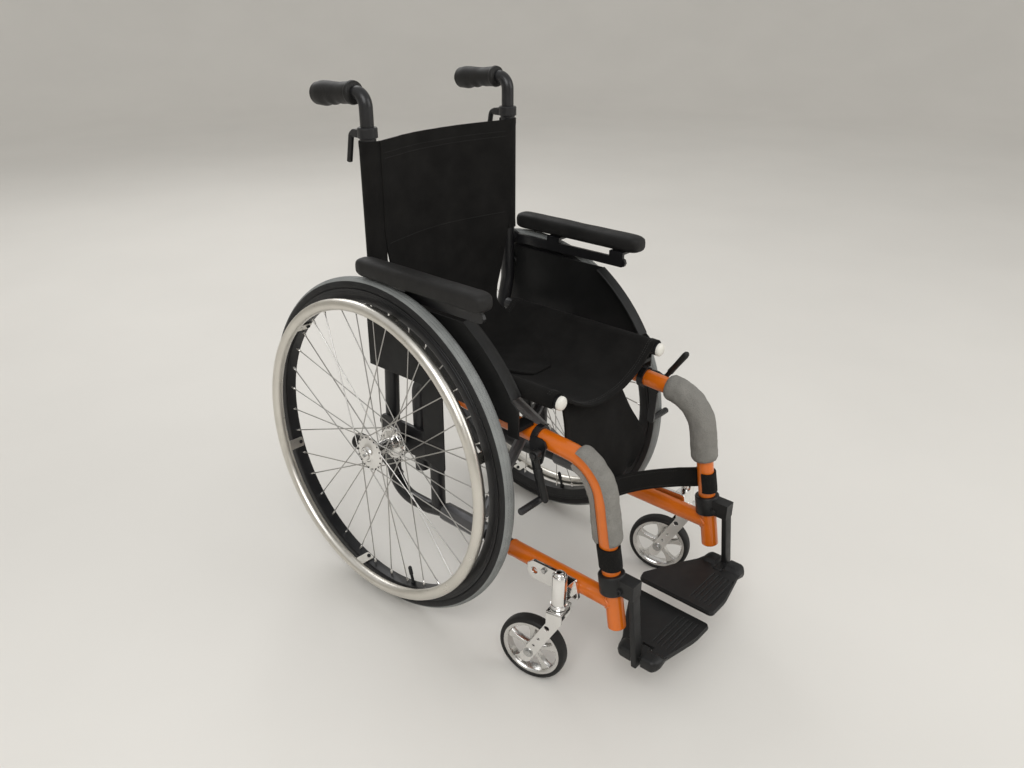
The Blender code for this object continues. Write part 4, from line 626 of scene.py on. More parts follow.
class Board:
    """The node sheet of one material, with short calls for the nodes that finishes use."""

    def __init__(self, title: str) -> None:
        """Starts a material with its principled shader.

        Args:
            title: The material's name.
        """
        self.material = bpy.data.materials.new(title)
        self.material.use_nodes = True
        self.tree = self.material.node_tree
        self.shader = self.tree.nodes["Principled BSDF"]

    def node(self, kind: str, inputs: dict, out: int | str = 0, **settings: object) -> Socket:
        """Adds a node.

        Args:
            kind: The node's type.
            inputs: Values or sockets for its inputs, by name or number.
            out: The output that is wanted.
            settings: Its other settings.

        Returns:
            That output socket.
        """
        made = self.tree.nodes.new(kind)
        for key, value in settings.items():
            setattr(made, key, value)
        for key, value in inputs.items():
            self.feed(made.inputs[key], value)
        return made.outputs[out]

    def feed(self, socket: Socket, value: object) -> None:
        """Sets a socket's value, or links another socket to it.

        Args:
            socket: The input socket.
            value: Its value, or the socket that feeds it.
        """
        if isinstance(value, Socket):
            self.tree.links.new(value, socket)
        else:
            socket.default_value = value

    def place(self) -> Socket:
        """Each point's place on the resting object, in metres."""
        return self.node("ShaderNodeTexCoord", {}, "Object")

    def surface(self, colour: Socket, gloss: Socket, normal: Socket) -> None:
        """Feeds the shader its colour, its roughness and its normal."""
        for name, socket in (("Base Color", colour), ("Roughness", gloss), ("Normal", normal)):
            self.feed(self.shader.inputs[name], socket)

    def math(self, operation: str, a: object, b: object = 0.0) -> Socket:
        """One sum of two values."""
        return self.node("ShaderNodeMath", {0: a, 1: b}, operation=operation)

    def speckle(self, size: float, detail: float) -> Socket:
        """Soft noise whose grains are about that size."""
        return self.node("ShaderNodeTexNoise", {"Vector": self.place(), "Scale": 1 / size, "Detail": detail}, "Fac")

    def streaks(self, scale: float, detail: float, roughness: float, distortion: float) -> Socket:
        """Drawn-out noise for scuffs and loose fibres."""
        inputs = {"Vector": self.place(), "Scale": scale, "Detail": detail, "Roughness": roughness}
        return self.node("ShaderNodeTexNoise", {**inputs, "Distortion": distortion}, "Fac")

    def spread(self, value: object, low: float, high: float, to_low: float, to_high: float) -> Socket:
        """Maps one range of values on another, clamped."""
        return self.node("ShaderNodeMapRange", {0: value, 1: low, 2: high, 3: to_low, 4: to_high})

    def mix(self, share: object, first: object, second: object) -> Socket:
        """Mixes two colours."""
        return self.node("ShaderNodeMix", {0: share, 6: first, 7: second}, 2, data_type="RGBA")

    def bump(self, height: object, depth: float, normal: object = None) -> Socket:
        """Tilts the surface by a height.

        Args:
            height: The height, from 0 to 1.
            depth: How deep a height of 1 is.
            normal: Relief that lies below, or None.

        Returns:
            The normal's socket.
        """
        inputs = {"Height": height, "Distance": depth, "Strength": 1.0}
        if normal is not None:
            inputs["Normal"] = normal
        return self.node("ShaderNodeBump", inputs)

    def parts(self) -> Sequence[Socket]:
        """Place across and along the unrolled surface, in metres.

        Returns:
            The two sockets, and a third unused.
        """
        split = self.tree.nodes.new("ShaderNodeSeparateXYZ")
        self.feed(split.inputs[0], self.node("ShaderNodeTexCoord", {}, "UV"))
        return split.outputs

    def weave(self, pitch: float) -> Socket:
        """Height of a plain weave.

        Args:
            pitch: The thread pitch.

        Returns:
            The height's socket.
        """
        parts = self.parts()
        waves = [self.math("SINE", self.math("MULTIPLY", parts[k], pi / pitch)) for k in (0, 1)]
        return self.spread(self.math("MULTIPLY", *waves), -1.0, 1.0, 0.0, 1.0)


def shaded(colour: Triple, gain: float) -> tuple[float, float, float, float]:
    """A colour made lighter or darker."""
    return (*[min(1.0, c * gain) for c in colour], 1.0)


@dataclass(frozen=True)
class Finish:
    """A surface finish with drifting colour, uneven gloss and a fine grain."""

    title: str
    slot: str
    colour: Triple
    roughness: float
    metallic: float = 0.0
    coat: float = 0.0
    sheen: float = 0.0
    drift: float = 0.12
    drift_size: float = 0.04
    gloss_drift: float = 0.06
    grain: float = 0.00004
    grain_size: float = 0.0012
    edge: float = 0.0
    specular: float = 0.5

    def tint(self, board: Board, size: float, detail: float, low: float = 0.35, high: float = 0.65) -> Socket:
        """The colour, drifting between a darker and a lighter shade.

        Args:
            board: Where its nodes go.
            size: Size of the drifting patches.
            detail: How finely they break up.
            low: Noise at and below which the colour is darkest.
            high: Noise at and above which it is lightest.

        Returns:
            The colour's socket.
        """
        share = board.spread(board.speckle(size, detail), low, high, 0.0, 1.0)
        return board.mix(share, shaded(self.colour, 1 - self.drift), shaded(self.colour, 1 + self.drift))

    def dress(self, board: Board) -> None:
        """Adds the nodes of this finish.

        Args:
            board: Where they go.
        """
        tint = self.tint(board, self.drift_size, 4.0)
        low, high = max(0.02, self.roughness - self.gloss_drift), min(1.0, self.roughness + self.gloss_drift)
        gloss = board.spread(board.speckle(self.drift_size * 0.4, 5.0), 0.3, 0.7, low, high)
        board.surface(tint, gloss, self.relief(board))

    def relief(self, board: Board) -> Socket:
        """The surface's fine relief."""
        rounded = board.node("ShaderNodeBevel", {"Radius": self.edge}, samples=4) if self.edge else None
        return board.bump(board.speckle(self.grain_size, 3.0), self.grain, rounded)


@functools.cache
def material_of(finish: Finish) -> bpy.types.Material:
    """The material of a finish, made once.

    Args:
        finish: The finish.

    Returns:
        Its material.
    """
    board = Board(finish.title)
    finish.dress(board)
    steady = {"Metallic": finish.metallic, "Coat Weight": finish.coat, "Coat Roughness": 0.12}
    steady |= {"Sheen Weight": finish.sheen, "Sheen Roughness": 0.45, "Specular IOR Level": finish.specular}
    for name, value in steady.items():
        board.feed(board.shader.inputs[name], value)
    return board.material


@dataclass(frozen=True)
class Lacquer(Finish):
    """Glossy paint with orange-peel and a few fine scuffs that dull it."""

    scuff: Triple = (0.3, 0.12, 0.03)

    def dress(self, board: Board) -> None:
        """Adds the nodes of this finish.

        Args:
            board: Where they go.
        """
        marks = board.spread(board.streaks(95.0, 6.0, 0.75, 1.4), 0.7, 0.74, 0.0, 0.55)
        scuffed = board.mix(marks, self.tint(board, self.drift_size, 3.0), (*self.scuff, 1.0))
        gloss = board.spread(marks, 0.0, 0.55, self.roughness, min(1.0, self.roughness + 0.25))
        board.surface(scuffed, gloss, board.bump(board.speckle(0.003, 1.0), 0.00005))


@dataclass(frozen=True)
class Woven(Finish):
    """Woven cloth with thread relief, loose fibres, sheen and painted highlights on the thread crests."""

    pitch: float = 0.0011
    thread: float = 0.00022
    lint: Triple = (0.16, 0.155, 0.145)
    lint_share: float = 0.5

    def dress(self, board: Board) -> None:
        """Adds the nodes of this finish.

        Args:
            board: Where they go.
        """
        weave = board.weave(self.pitch)
        worn = self.tint(board, self.drift_size, 5.0, high=0.68)
        # The thread crests are painted lighter: a painted highlight on the weave.
        weave_with_painted_highlights = board.mix(board.spread(weave, 0.55, 1.0, 0.0, 0.35), worn, shaded(self.colour, 1.9))
        specks = board.spread(board.streaks(340.0, 5.0, 0.8, 2.2), 0.735, 0.8, 0.0, self.lint_share)
        gloss = board.spread(weave, 0.0, 1.0, self.roughness + 0.05, self.roughness - 0.05)
        creases = board.bump(board.speckle(0.012, 3.0), 0.0006)
        board.surface(board.mix(specks, weave_with_painted_highlights, (*self.lint, 1.0)), gloss, board.bump(weave, self.thread, creases))


@dataclass(frozen=True)
class Foam(Finish):
    """Closed-cell foam: mottled and dull, with pits bumped in and painted with shade."""

    pit: float = 0.0022

    def dress(self, board: Board) -> None:
        """Adds the nodes of this finish.

        Args:
            board: Where they go.
        """
        inputs = {"Vector": board.place(), "Scale": 1 / self.pit, "Randomness": 1.0}
        cells = board.node("ShaderNodeTexVoronoi", inputs, "Distance")
        tone = self.tint(board, 0.018, 6.0, 0.32, 0.68)
        # The pits are painted darker: painted shade in the recesses.
        tone_with_painted_pit_shade = board.mix(board.spread(cells, 0.0, 0.45, 0.55, 0.0), tone, shaded(self.colour, 0.62))
        gloss = board.spread(cells, 0.0, 0.6, 1.0, self.roughness)
        board.surface(tone_with_painted_pit_shade, gloss, board.bump(cells, 0.0006, board.bump(board.speckle(0.007, 4.0), 0.0005)))


@dataclass(frozen=True)
class Tread(Finish):
    """Tyre rubber with a fine file pattern across it and road dust."""

    rib: float = 0.0045

    def relief(self, board: Board) -> Socket:
        """The surface's fine relief.

        Args:
            board: Where its nodes go.

        Returns:
            The normal's socket.
        """
        across, along, _ = board.parts()
        slant = board.math("ADD", along, board.math("ABSOLUTE", board.math("ADD", across, -0.022)))
        ribs = board.math("SINE", board.math("MULTIPLY", slant, 2 * pi / self.rib))
        dust = board.bump(board.speckle(0.001, 2.0), 0.0001)
        return board.bump(board.spread(ribs, -0.2, 0.5, 0.0, 1.0), 0.0004, dust)


@dataclass(frozen=True)
class Floor(Finish):
    """Plain pale floor with a hardly visible texture."""

    def relief(self, board: Board) -> Socket:
        """The surface's fine relief."""
        return board.bump(board.speckle(0.02, 3.0), 0.0002)


ORANGE = Lacquer("orange_lacquer", "orange_paint", (0.64, 0.138, 0.004), 0.3, coat=0.35, drift=0.05)
BLACK_TUBE = Finish(
    "black_satin_tube", "black_metal", (0.01, 0.01, 0.011), 0.36, coat=0.12, edge=0.0006, specular=0.4
)
RIM_BLACK = Finish(
    "black_anodised_rim", "black_metal", (0.009, 0.009, 0.01), 0.4, coat=0.08, grain=0.00001, specular=0.35
)
BRACE_GREY = Finish("grey_satin_tube", "grey_metal", (0.13, 0.13, 0.135), 0.38, metallic=0.7, edge=0.0006)
HANDRIM_SILVER = Finish(
    "champagne_anodised", "silver_anodised", (0.7, 0.675, 0.62), 0.33, metallic=1.0, drift=0.04, grain=0.00001,
    grain_size=0.0008,
)
CASTOR_SILVER = Finish(
    "silver_castor_rim", "silver_anodised", (0.66, 0.65, 0.63), 0.24, metallic=1.0, drift=0.05, grain=0.00002
)
POLISHED = Finish(
    "polished_alloy", "polished_metal", (0.8, 0.79, 0.77), 0.13, metallic=1.0, drift=0.04, gloss_drift=0.05,
    grain=0.000012, edge=0.0005,
)
SPOKE_STEEL = Finish("spoke_steel", "polished_metal", (0.48, 0.47, 0.45), 0.34, metallic=1.0, drift=0.05, grain=0.00001)
BOLT_STEEL = Finish("zinc_bolt", "polished_metal", (0.5, 0.5, 0.49), 0.3, metallic=1.0, drift=0.1)
TREAD_GREY = Tread("grey_tread_rubber", "grey_tyre", (0.235, 0.245, 0.24), 0.72, drift=0.1, drift_size=0.03)
SIDEWALL = Finish(
    "black_sidewall_rubber", "grey_tyre", (0.012, 0.012, 0.0125), 0.55, drift=0.15, grain=0.00008, specular=0.3
)
RUBBER = Finish(
    "black_soft_rubber", "black_rubber", (0.012, 0.0115, 0.011), 0.55, drift=0.18, grain=0.00008, specular=0.3
)
PLASTIC = Finish(
    "black_moulded_plastic", "black_plastic", (0.01, 0.01, 0.01), 0.46, drift=0.15, grain=0.00006,
    grain_size=0.0009, edge=0.0007, specular=0.35,
)
GUARD_BLACK = Finish(
    "black_guard_sheet", "black_plastic", (0.009, 0.009, 0.009), 0.44, drift=0.15, grain=0.00003, edge=0.0005,
    specular=0.25,
)
FOAM_GREY = Foam("grey_tube_foam", "grey_foam", (0.205, 0.198, 0.18), 0.82, drift=0.1)
CAP_WHITE = Finish("white_end_cap", "white_plastic", (0.74, 0.72, 0.66), 0.34, drift=0.05, coat=0.2)
SEAT_CLOTH = Woven(
    "black_seat_cloth", "black_cloth", (0.009, 0.0085, 0.008), 0.88, sheen=0.02, drift=0.25, specular=0.12
)
WEBBING = Woven(
    "black_webbing", "black_cloth", (0.009, 0.0086, 0.008), 0.8, sheen=0.02, specular=0.12, pitch=0.0018, thread=0.0004
)
THREAD = Finish("black_thread", "black_cloth", (0.03, 0.029, 0.027), 0.6, drift=0.1, grain=0.00002)
PAD_VINYL = Finish(
    "black_pad_foam", "black_rubber", (0.012, 0.0115, 0.011), 0.6, drift=0.2, grain=0.00016, grain_size=0.0016,
    specular=0.3,
)
FLOOR = Floor("pale_floor", "", (0.74, 0.72, 0.68), 0.55, drift=0.015, drift_size=0.6, gloss_drift=0.03)


# Placing pieces


def carrier(node: str) -> str:
    """The body that carries a node of the frame.

    Args:
        node: The node's name.

    Returns:
        The body's name.
    """
    for body, members in frame["record"]["behaviour"]["bodies"].items():
        if node in members:
            return body
    raise KeyError(node)


def put(
    name: str,
    mesh: Mesh,
    finishes: Finish | Sequence[Finish],
    body: str | None,
    side: Side = Side.LEFT,
    instead_of: Sequence[str] = (),
    bevel: float = 0.0,
    angle: float = SHARP_DEG,
) -> Piece:
    """Makes a named piece from a left-hand shape and sets it on its body.

    Args:
        name: The piece's name.
        mesh: Its shape in the chair's own frame.
        finishes: Its finish, or one for each finish number of its faces.
        body: The body it rides on, or None to leave it on no body.
        side: The side it stands on.
        instead_of: The nodes of the frame that it stands for.
        bevel: Width of the rounding along its sharp edges.
        angle: The angle above which an edge stays sharp.

    Returns:
        The piece.
    """
    mesh.transform(Matrix.Translation((0, CHAIR_Y, 0)))
    if side is Side.RIGHT:
        mesh.transform(Matrix.Scale(-1, 4, (1, 0, 0)))
        mesh.flip_normals()
    mesh.name = name
    choice = [finishes] if isinstance(finishes, Finish) else list(finishes)
    for finish in choice:
        mesh.materials.append(material_of(finish))
    mesh.shade_smooth()
    mesh.set_sharp_from_angle(angle=radians(angle))
    piece = bpy.data.objects.new(name, mesh)
    bpy.context.scene.collection.objects.link(piece)
    if bevel:
        rounding = piece.modifiers.new("rounding", "BEVEL")
        rounding.width = bevel
        rounding.segments = 2
        rounding.limit_method = "ANGLE"
        rounding.angle_limit = radians(angle)
        rounding.harden_normals = True
    if body:
        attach(piece, body)
    if instead_of:
        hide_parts(*instead_of)
    return piece


def redress(node: str, finish: Finish) -> Piece:
    """Gives a node of the frame its finish.

    Args:
        node: The node's name.
        finish: Its finish.

    Returns:
        The node's own piece.
    """
    piece = frame["nodes"][node]
    piece.data.materials.clear()
    piece.data.materials.append(material_of(finish))
    piece.data.shade_smooth()
    piece.data.set_sharp_from_angle(angle=radians(SHARP_DEG))
    return piece


class Assembly:
    """A sub-assembly of the chair, on one side or in the middle."""

    side: Side = Side.LEFT

    def pieces(self) -> list[Piece]:
        """Builds this sub-assembly."""
        raise NotImplementedError

    def named(self, name: str) -> str:
        """A piece's name with its side."""
        return f"{name}_{self.side.word}"

    def fit(
        self,
        name: str,
        mesh: Mesh,
        finishes: Finish | Sequence[Finish],
        node: str,
        stands_for: bool = True,
        bevel: float = 0.0,
        angle: float = SHARP_DEG,
    ) -> Piece:
        """Puts a sided piece on the body of a sided node.

        Args:
            name: The piece's name without its side.
            mesh: Its left-hand shape.
            finishes: Its finish or finishes.
            node: The node without its side.
            stands_for: Whether the piece is shown instead of that node.
            bevel: Width of the rounding along its sharp edges.
            angle: The angle above which an edge stays sharp.

        Returns:
            The piece.
        """
        whole = self.named(node)
        instead = (whole,) if stands_for else ()
        return put(self.named(name), mesh, finishes, carrier(whole), self.side, instead, bevel, angle)


# Sub-assemblies


@dataclass
class RearWheel(Assembly):
    """Rear wheel: tyre, rim with valve, hub, crossed spokes and handrim."""

    side: Side
    steps: int = 144
    rim_r: float = 0.2772
    rim_depth: float = 0.0215
    rim_half: float = 0.0115
    bead_depth: float = 0.005
    spokes: int = 36
    spoke_r: float = 0.001
    cross_deg: float = 60.0
    phase_deg: float = 7.4
    flange_r: float = 0.031
    flange_cone: float = 0.01
    barrel_r: float = 0.0125
    flange_w: Pair = (-0.0256, 0.0263)
    flange_half: float = 0.0013
    hub_w: Pair = (-0.034, 0.0352)
    handrim_r: float = 0.256
    handrim_tube_r: float = 0.0095
    handrim_w: float = 0.0308
    tabs: int = 6
    first_tab_deg: float = 18.0
    tab_thick: float = 0.0022
    tab_half: float = 0.009
    tab_past: float = 0.0065
    valve_deg: float = 286.0

    def set_up(self, mesh: Mesh) -> Mesh:
        """Moves a shape from the wheel's own frame to the chair's."""
        return moved(mesh, PLAN.wheel_frame())

    def tyre(self) -> Piece:
        """Tyre with a ribbed grey tread between black sidewalls.

        Returns:
            The piece.
        """
        crown = PLAN.wheel_r - PLAN.tyre_section_r
        profile, columns = [], []
        for deg in range(-14, 195, 4):
            groove = 0.0007 if min(abs(deg - g) for g in (62, 90, 118)) <= 2 else 0.0
            step = 0.0004 if 36 < deg < 144 else 0.0
            r = PLAN.tyre_section_r - groove - 0.0004 + step
            a = radians(deg)
            profile.append((r * cos(a), crown + r * sin(a)))
            columns.append(0 if 32 <= deg < 148 else 1)
        bead = self.rim_half - 0.0019
        seat = self.rim_r - self.bead_depth + GAP
        profile += [(-bead, self.rim_r + GAP), (-bead, seat), (bead, seat), (bead, self.rim_r + GAP)]
        columns += [1, 1, 1, 1]
        mesh = self.set_up(revolved(profile, self.steps, columns))
        return self.fit("ribbed_tyre", mesh, (TREAD_GREY, SIDEWALL), "tyre", angle=60)

    def rim(self) -> list[Piece]:
        """Box-section rim with its valve and cap.

        Returns:
            The pieces.
        """
        wall, bed, inner = self.rim_half, self.rim_r - self.bead_depth, self.rim_r - self.rim_depth
        half = [(wall - 0.0004, self.rim_r), (wall - 0.0012, self.rim_r)]
        half += [(wall - 0.0016, self.rim_r - 0.0004), (wall - 0.0016, bed)]
        outer = [(wall * 0.55, inner), (wall * 0.8, inner + 0.0004), (wall * 0.93, inner + 0.0024)]
        outer += [(wall, inner + 0.0058), (wall, self.rim_r - 0.0052), (wall - 0.0004, self.rim_r - 0.0048)]
        outer += [(wall - 0.0004, self.rim_r - 0.004), (wall, self.rim_r - 0.0036), (wall, self.rim_r - 0.0004)]
        profile = half + [(-w, r) for w, r in reversed(half)] + [(-w, r) for w, r in reversed(outer)] + outer
        rim = self.fit("box_rim", self.set_up(revolved(profile, self.steps)), RIM_BLACK, "wheel_rim", angle=30)
        a = radians(self.valve_deg)
        out = Vector((0, -cos(a), sin(a)))
        marks = [(0, 0.003), (0.08, 0.003), (0.1, 0.0045), (0.16, 0.0045), (0.18, 0.0026), (0.55, 0.0026)]
        marks += [(0.57, 0.0034), (0.93, 0.0034), (1.0, 0.002)]
        valve = turned(out * (inner + 0.002), out * (inner - 0.0335), marks, 16)
        return [rim, self.fit("valve_and_cap", self.set_up(valve), SIDEWALL, "wheel_rim", False)]

    def hub(self) -> Piece:
        """Turned hub: two dished flanges with a row of holes each, shown as dark plugs of painted shade, and a domed
        cap outside.

        Returns:
            The piece.
        """
        (low, high), (left, right), half = self.hub_w, self.flange_w, self.flange_half
        edge, hole_r = self.flange_r, self.flange_r - 0.0025
        bowl = [(half - 0.0004, edge), (half, edge - 0.0004), (half + 0.0012, 0.0272), (half + 0.0026, 0.0268)]
        bowl += [(0.005, 0.0226), (0.0056, 0.0222), (0.0086, 0.0158), (self.flange_cone, self.barrel_r)]
        marks = [(low, 0.01), (low + 0.0015, 0.0125), (left - 0.004, 0.0125), (left - half, 0.0165)]
        marks += [(left - half, edge - 0.0004), (left - half + 0.0004, edge)]
        marks += [(left + w, r) for w, r in bowl] + [(right - w, r) for w, r in reversed(bowl)]
        marks += [(right + half - 0.0004, edge), (right + half, edge - 0.0006), (right + 0.0022, 0.0262)]
        marks += [(right + 0.0034, 0.0205), (right + 0.0047, 0.0162), (right + 0.0052, 0.015)]
        marks += [(high - 0.002, 0.0127), (high - 0.0006, 0.012), (high, 0.0108), (high, 0.0066)]
        parts = [turned((low, 0, 0), (high, 0, 0), [((w - low) / (high - low), r) for w, r in marks], 48)]
        # Each spoke hole is a short black plug: painted shade standing in for the hole.
        for k in range(self.spokes):
            turn = radians(self.phase_deg + 360.0 / self.spokes * k)
            spot = Vector((self.flange_w[k % 2], hole_r * cos(turn), hole_r * sin(turn)))
            reach = Vector((0.0029, 0, 0))
            parts.append(turned(spot - reach, spot + reach, [(0, 0.0013), (1, 0.0013)], 10))
        mesh = self.set_up(merged(*parts, slots=[0] + [1] * self.spokes))
        return self.fit("turned_hub", mesh, (POLISHED, SIDEWALL), "hub_and_spokes", angle=30)

    def spoke_set(self) -> list[Piece]:
        """Crossed spokes with their elbows and heads, and a nipple for each at the rim.

        Returns:
            The pieces.
        """
        wires, nipples = [], []
        hole_r = self.flange_r - 0.0025
        rim_r = self.rim_r - self.rim_depth
        for k in range(self.spokes):
            flange, lead = self.flange_w[k % 2], 1 if k % 4 > 1 else -1
            start = radians(self.phase_deg + 360.0 / self.spokes * k)
            end = start + radians(lead * self.cross_deg)
            lift = lead * (self.flange_half + self.spoke_r * 0.9)
            foot = Vector((flange + lift, hole_r * cos(start), hole_r * sin(start)))
            head = Vector((0.0, rim_r * cos(end), rim_r * sin(end)))
            back = Vector((flange - lead * (self.flange_half + 0.0008), foot.y, foot.z))
            wires.append(tube(bent([back, foot, head], 0.0022, 30), self.spoke_r, 8, (0.3, 0.5, 0.8)))
            tip = back - Vector((lead * 0.0007, 0, 0))
            wires.append(turned(back, tip, [(0, 0.0018), (0.6, 0.0018), (1, 0.0008)], 10))
            way = (foot - head).normalized()
            marks = [(0, 0.0021), (0.75, 0.0021), (0.8, 0.0016), (1, 0.0015)]
            nipples.append(turned(head - way * 0.001, head + way * 0.011, marks, 8))
        spokes = self.fit("crossed_spokes", self.set_up(merged(*wires)), SPOKE_STEEL, "hub_and_spokes", False)
        return [spokes, self.fit("spoke_nipples", self.set_up(merged(*nipples)), POLISHED, "wheel_rim", False)]

    def handrim(self) -> list[Piece]:
        """Round handrim on six flat tabs that lie along the rim's inner face, each with its screw.

        Returns:
            The pieces.
        """
        section = [(self.handrim_w + a, self.handrim_r + b) for a, b in circle(self.handrim_tube_r, 24)]
        ring = self.fit("handrim_ring", self.set_up(revolved(section, self.steps)), HANDRIM_SILVER, "handrim")
        high = self.rim_r - self.rim_depth - 0.0004
        low = high - self.tab_thick
        tabs, screws = [], []
        for k in range(self.tabs):
            spin = Matrix.Rotation(pi / 2 - radians(self.first_tab_deg + 360.0 / self.tabs * k), 4, "X")
            wide, middle = (self.handrim_w + self.tab_past) / 2, (self.handrim_w - self.tab_past) / 2
            plan = rounded(wide, self.tab_half, 0.0035)
            tabs.append(moved(skin([[(middle + a, b, r) for a, b in plan] for r in (low, high)]), spin))
            marks = [(0, 0.0036), (0.7, 0.0034), (1, 0.0028), (1, 0.0016), (0.6, 0.0014)]
            screws.append(moved(turned((-0.001, 0, low), (-0.001, 0, low - 0.0022), marks, 16), spin))
        mesh = self.set_up(merged(*tabs, *screws, slots=[0] * len(tabs) + [1] * len(screws)))
        return [ring, self.fit("handrim_tabs", mesh, (HANDRIM_SILVER, SIDEWALL), "handrim", False, 0.0005)]

    def axle(self) -> list[Piece]:
        """Quick-release axle, with its smooth head shown, and its push button.

        Returns:
            The pieces.
        """
        high = self.hub_w[1]
        marks = [(0, 0.005), (0.02, 0.006), (0.955, 0.006), (0.955, 0.0092), (0.985, 0.0095), (1, 0.0085), (1, 0.0034)]
        shaft = turned((self.hub_w[0] - 0.039, 0, 0), (high + 0.0033, 0, 0), marks, 32)
        marks = [(0, 0.003), (0.88, 0.003), (0.96, 0.0026), (1, 0.0014)]
        pin = turned((high - 0.005, 0, 0), (high + 0.0063, 0, 0), marks, 20)
        return [
            self.fit("axle_shaft", self.set_up(shaft), POLISHED, "axle"),
            self.fit("release_button", self.set_up(pin), BOLT_STEEL, "axle_button"),
        ]

    def pieces(self) -> list[Piece]:
        """Builds this sub-assembly."""
        return [self.tyre(), *self.rim(), self.hub(), *self.spoke_set(), *self.handrim(), *self.axle()]


@dataclass
class Castor(Assembly):
    """Castor: tyre, spoked rim, drilled fork and its housing."""

    side: Side
    radius: float = 0.057
    half: float = 0.0113
    rim_r: float = 0.0487
    hub_half: float = 0.015
    spokes: int = 5
    trail: float = 0.042
    stem: Pair = (0.1856, -0.374)
    fork_top_z: float = 0.152
    fork_wall: float = 0.003
    housing_top_z: float = 0.212

    def turn(self) -> float:
        """How far this castor is turned about its stem, in degrees."""
        return {Side.RIGHT: 13.0, Side.LEFT: 17.25}[self.side]

    def stand(self, mesh: Mesh) -> Mesh:
        """Moves a shape from the castor's frame to the left-hand chair frame."""
        turn = radians(self.turn() * (1 if self.side is Side.LEFT else -1))
        return moved(mesh, Matrix.Translation((self.stem[0], self.stem[1], 0)) @ Matrix.Rotation(turn, 4, "Z"))

    def roll(self, mesh: Mesh) -> Mesh:
        """Moves a shape from the roller's axle to the left-hand chair frame."""
        return self.stand(moved(mesh, Matrix.Translation((0, self.trail, self.radius))))

    def tyre(self) -> Piece:
        """Solid castor tyre with a rounded tread and a moulding line.

        Returns:
            The piece.
        """
        crown = self.radius - 0.0062
        profile = [(self.half * 0.82, self.rim_r + GAP), (self.half * 0.97, self.rim_r + 0.0012)]
        for deg in range(0, 181, 9):
            a = radians(deg)
            lift = 0.0002 if deg == 90 else 0.0
            w = self.half * copysign(abs(cos(a)) ** 0.55, cos(a))
            profile.append((w, crown + (0.006 + lift) * sin(a) ** 0.9))
        profile += [(-self.half * 0.97, self.rim_r + 0.0012), (-self.half * 0.82, self.rim_r + GAP)]
        return self.fit("castor_tread", self.roll(revolved(profile, 96)), RUBBER, "castor_tyre", angle=50)

    def wheel(self) -> Piece:
        """Cast rim with five waisted spokes and a bearing hub.

        Returns:
            The piece.
        """
        half, inner = self.half * 0.82, self.rim_r - 0.0062
        ring = [(half, self.rim_r), (-half, self.rim_r), (-half, inner + 0.0018), (-half * 0.8, inner)]
        ring += [(-half * 0.5, inner - 0.0004), (half * 0.5, inner - 0.0004)]
        ring += [(half * 0.8, inner), (half, inner + 0.0018)]
        parts = [revolved(ring, 96)]
        marks = [(0, 0.006), (0.02, 0.0085), (0.14, 0.009), (0.16, 0.01)]
        marks += [(0.84, 0.01), (0.86, 0.009), (0.98, 0.0085), (1, 0.006)]
        parts.append(turned((-self.hub_half, 0, 0), (self.hub_half, 0, 0), marks, 40))
        for k in range(self.spokes):
            edge = []
            for share in [i / 14 for i in range(15)]:
                r = 0.006 + (inner + 0.0012 - 0.006) * share
                edge.append((0.0034 + 0.0032 * (2 * share - 0.95) ** 2 * (1.6 if share > 0.5 else 0.7), r))
            outline = edge + [(-y, z) for y, z in reversed(edge)]
            spoke = stamped(outline, [], -half * 0.55, half * 0.55, 0.0009)
            parts.append(moved(spoke, Matrix.Rotation(2 * pi * k / self.spokes, 4, "X")))
        return self.fit("castor_rim", self.roll(merged(*parts)), CASTOR_SILVER, "castor_wheel", angle=35)

    def fork(self) -> list[Piece]:
        """Raked fork: two drilled legs, the crown, the stem and the axle bolt.

        Returns:
            The pieces.
        """
        axle = Vector((self.trail, self.radius))
        along = (axle - Vector((0.0, self.fork_top_z - 0.012))).normalized()
        tip = axle + along * 0.012
        heading = degrees(atan2(along.y, along.x))
        top = self.fork_top_z
        outline = [(-0.013, top), (-0.013, top - 0.018)] + arc(tip, 0.01, heading - 90, heading + 90, 18)
        outline += [(0.013, top - 0.024), (0.013, top)]
        holes = []
        for distance, radius in ((-0.068, 0.0045), (-0.038, 0.0025), (-0.02, 0.0025)):
            spot = axle + along * distance
            holes.append([(spot.x + a, spot.y + b) for a, b in circle(radius, 24)])
        inner = self.hub_half + 0.0005
        outer = inner + self.fork_wall
        legs = [stamped(outline, holes, inner, outer, 0.0006), stamped(outline, holes, -outer, -inner, 0.0006)]
        crown = [(-outer, -0.013), (outer, -0.013), (outer, 0.013), (-outer, 0.013)]
        levels = ((1.0, top - 0.004), (1.0, top - 0.0006), (0.96, top))
        rings = [[(x * s, y * s, z) for x, y in crown] for s, z in levels]
        stem = rod((0, 0, top - 0.002), (0, 0, self.housing_top_z - 0.008), 0.006, 24)
        mesh = self.stand(merged(*legs, skin(rings), stem))
        body = self.fit("fork_legs", mesh, POLISHED, "castor_fork", bevel=0.0006)
        bolts = [rod((-outer - 0.001, *axle), (outer + 0.001, *axle), 0.004, 20)]
        for s in (-1, 1):
            bolts.append(turned((s * outer, *axle), (s * (outer + 0.0008), *axle), [(0, 0.0085), (1, 0.0085)], 28))
            bolts.append(hexagon((s * (outer + 0.0006), *axle), 0.0064, 0.0032, (s, 0, 0)))
        return [body, self.fit("fork_bolt", self.stand(merged(*bolts)), BOLT_STEEL, "castor_fork", False)]

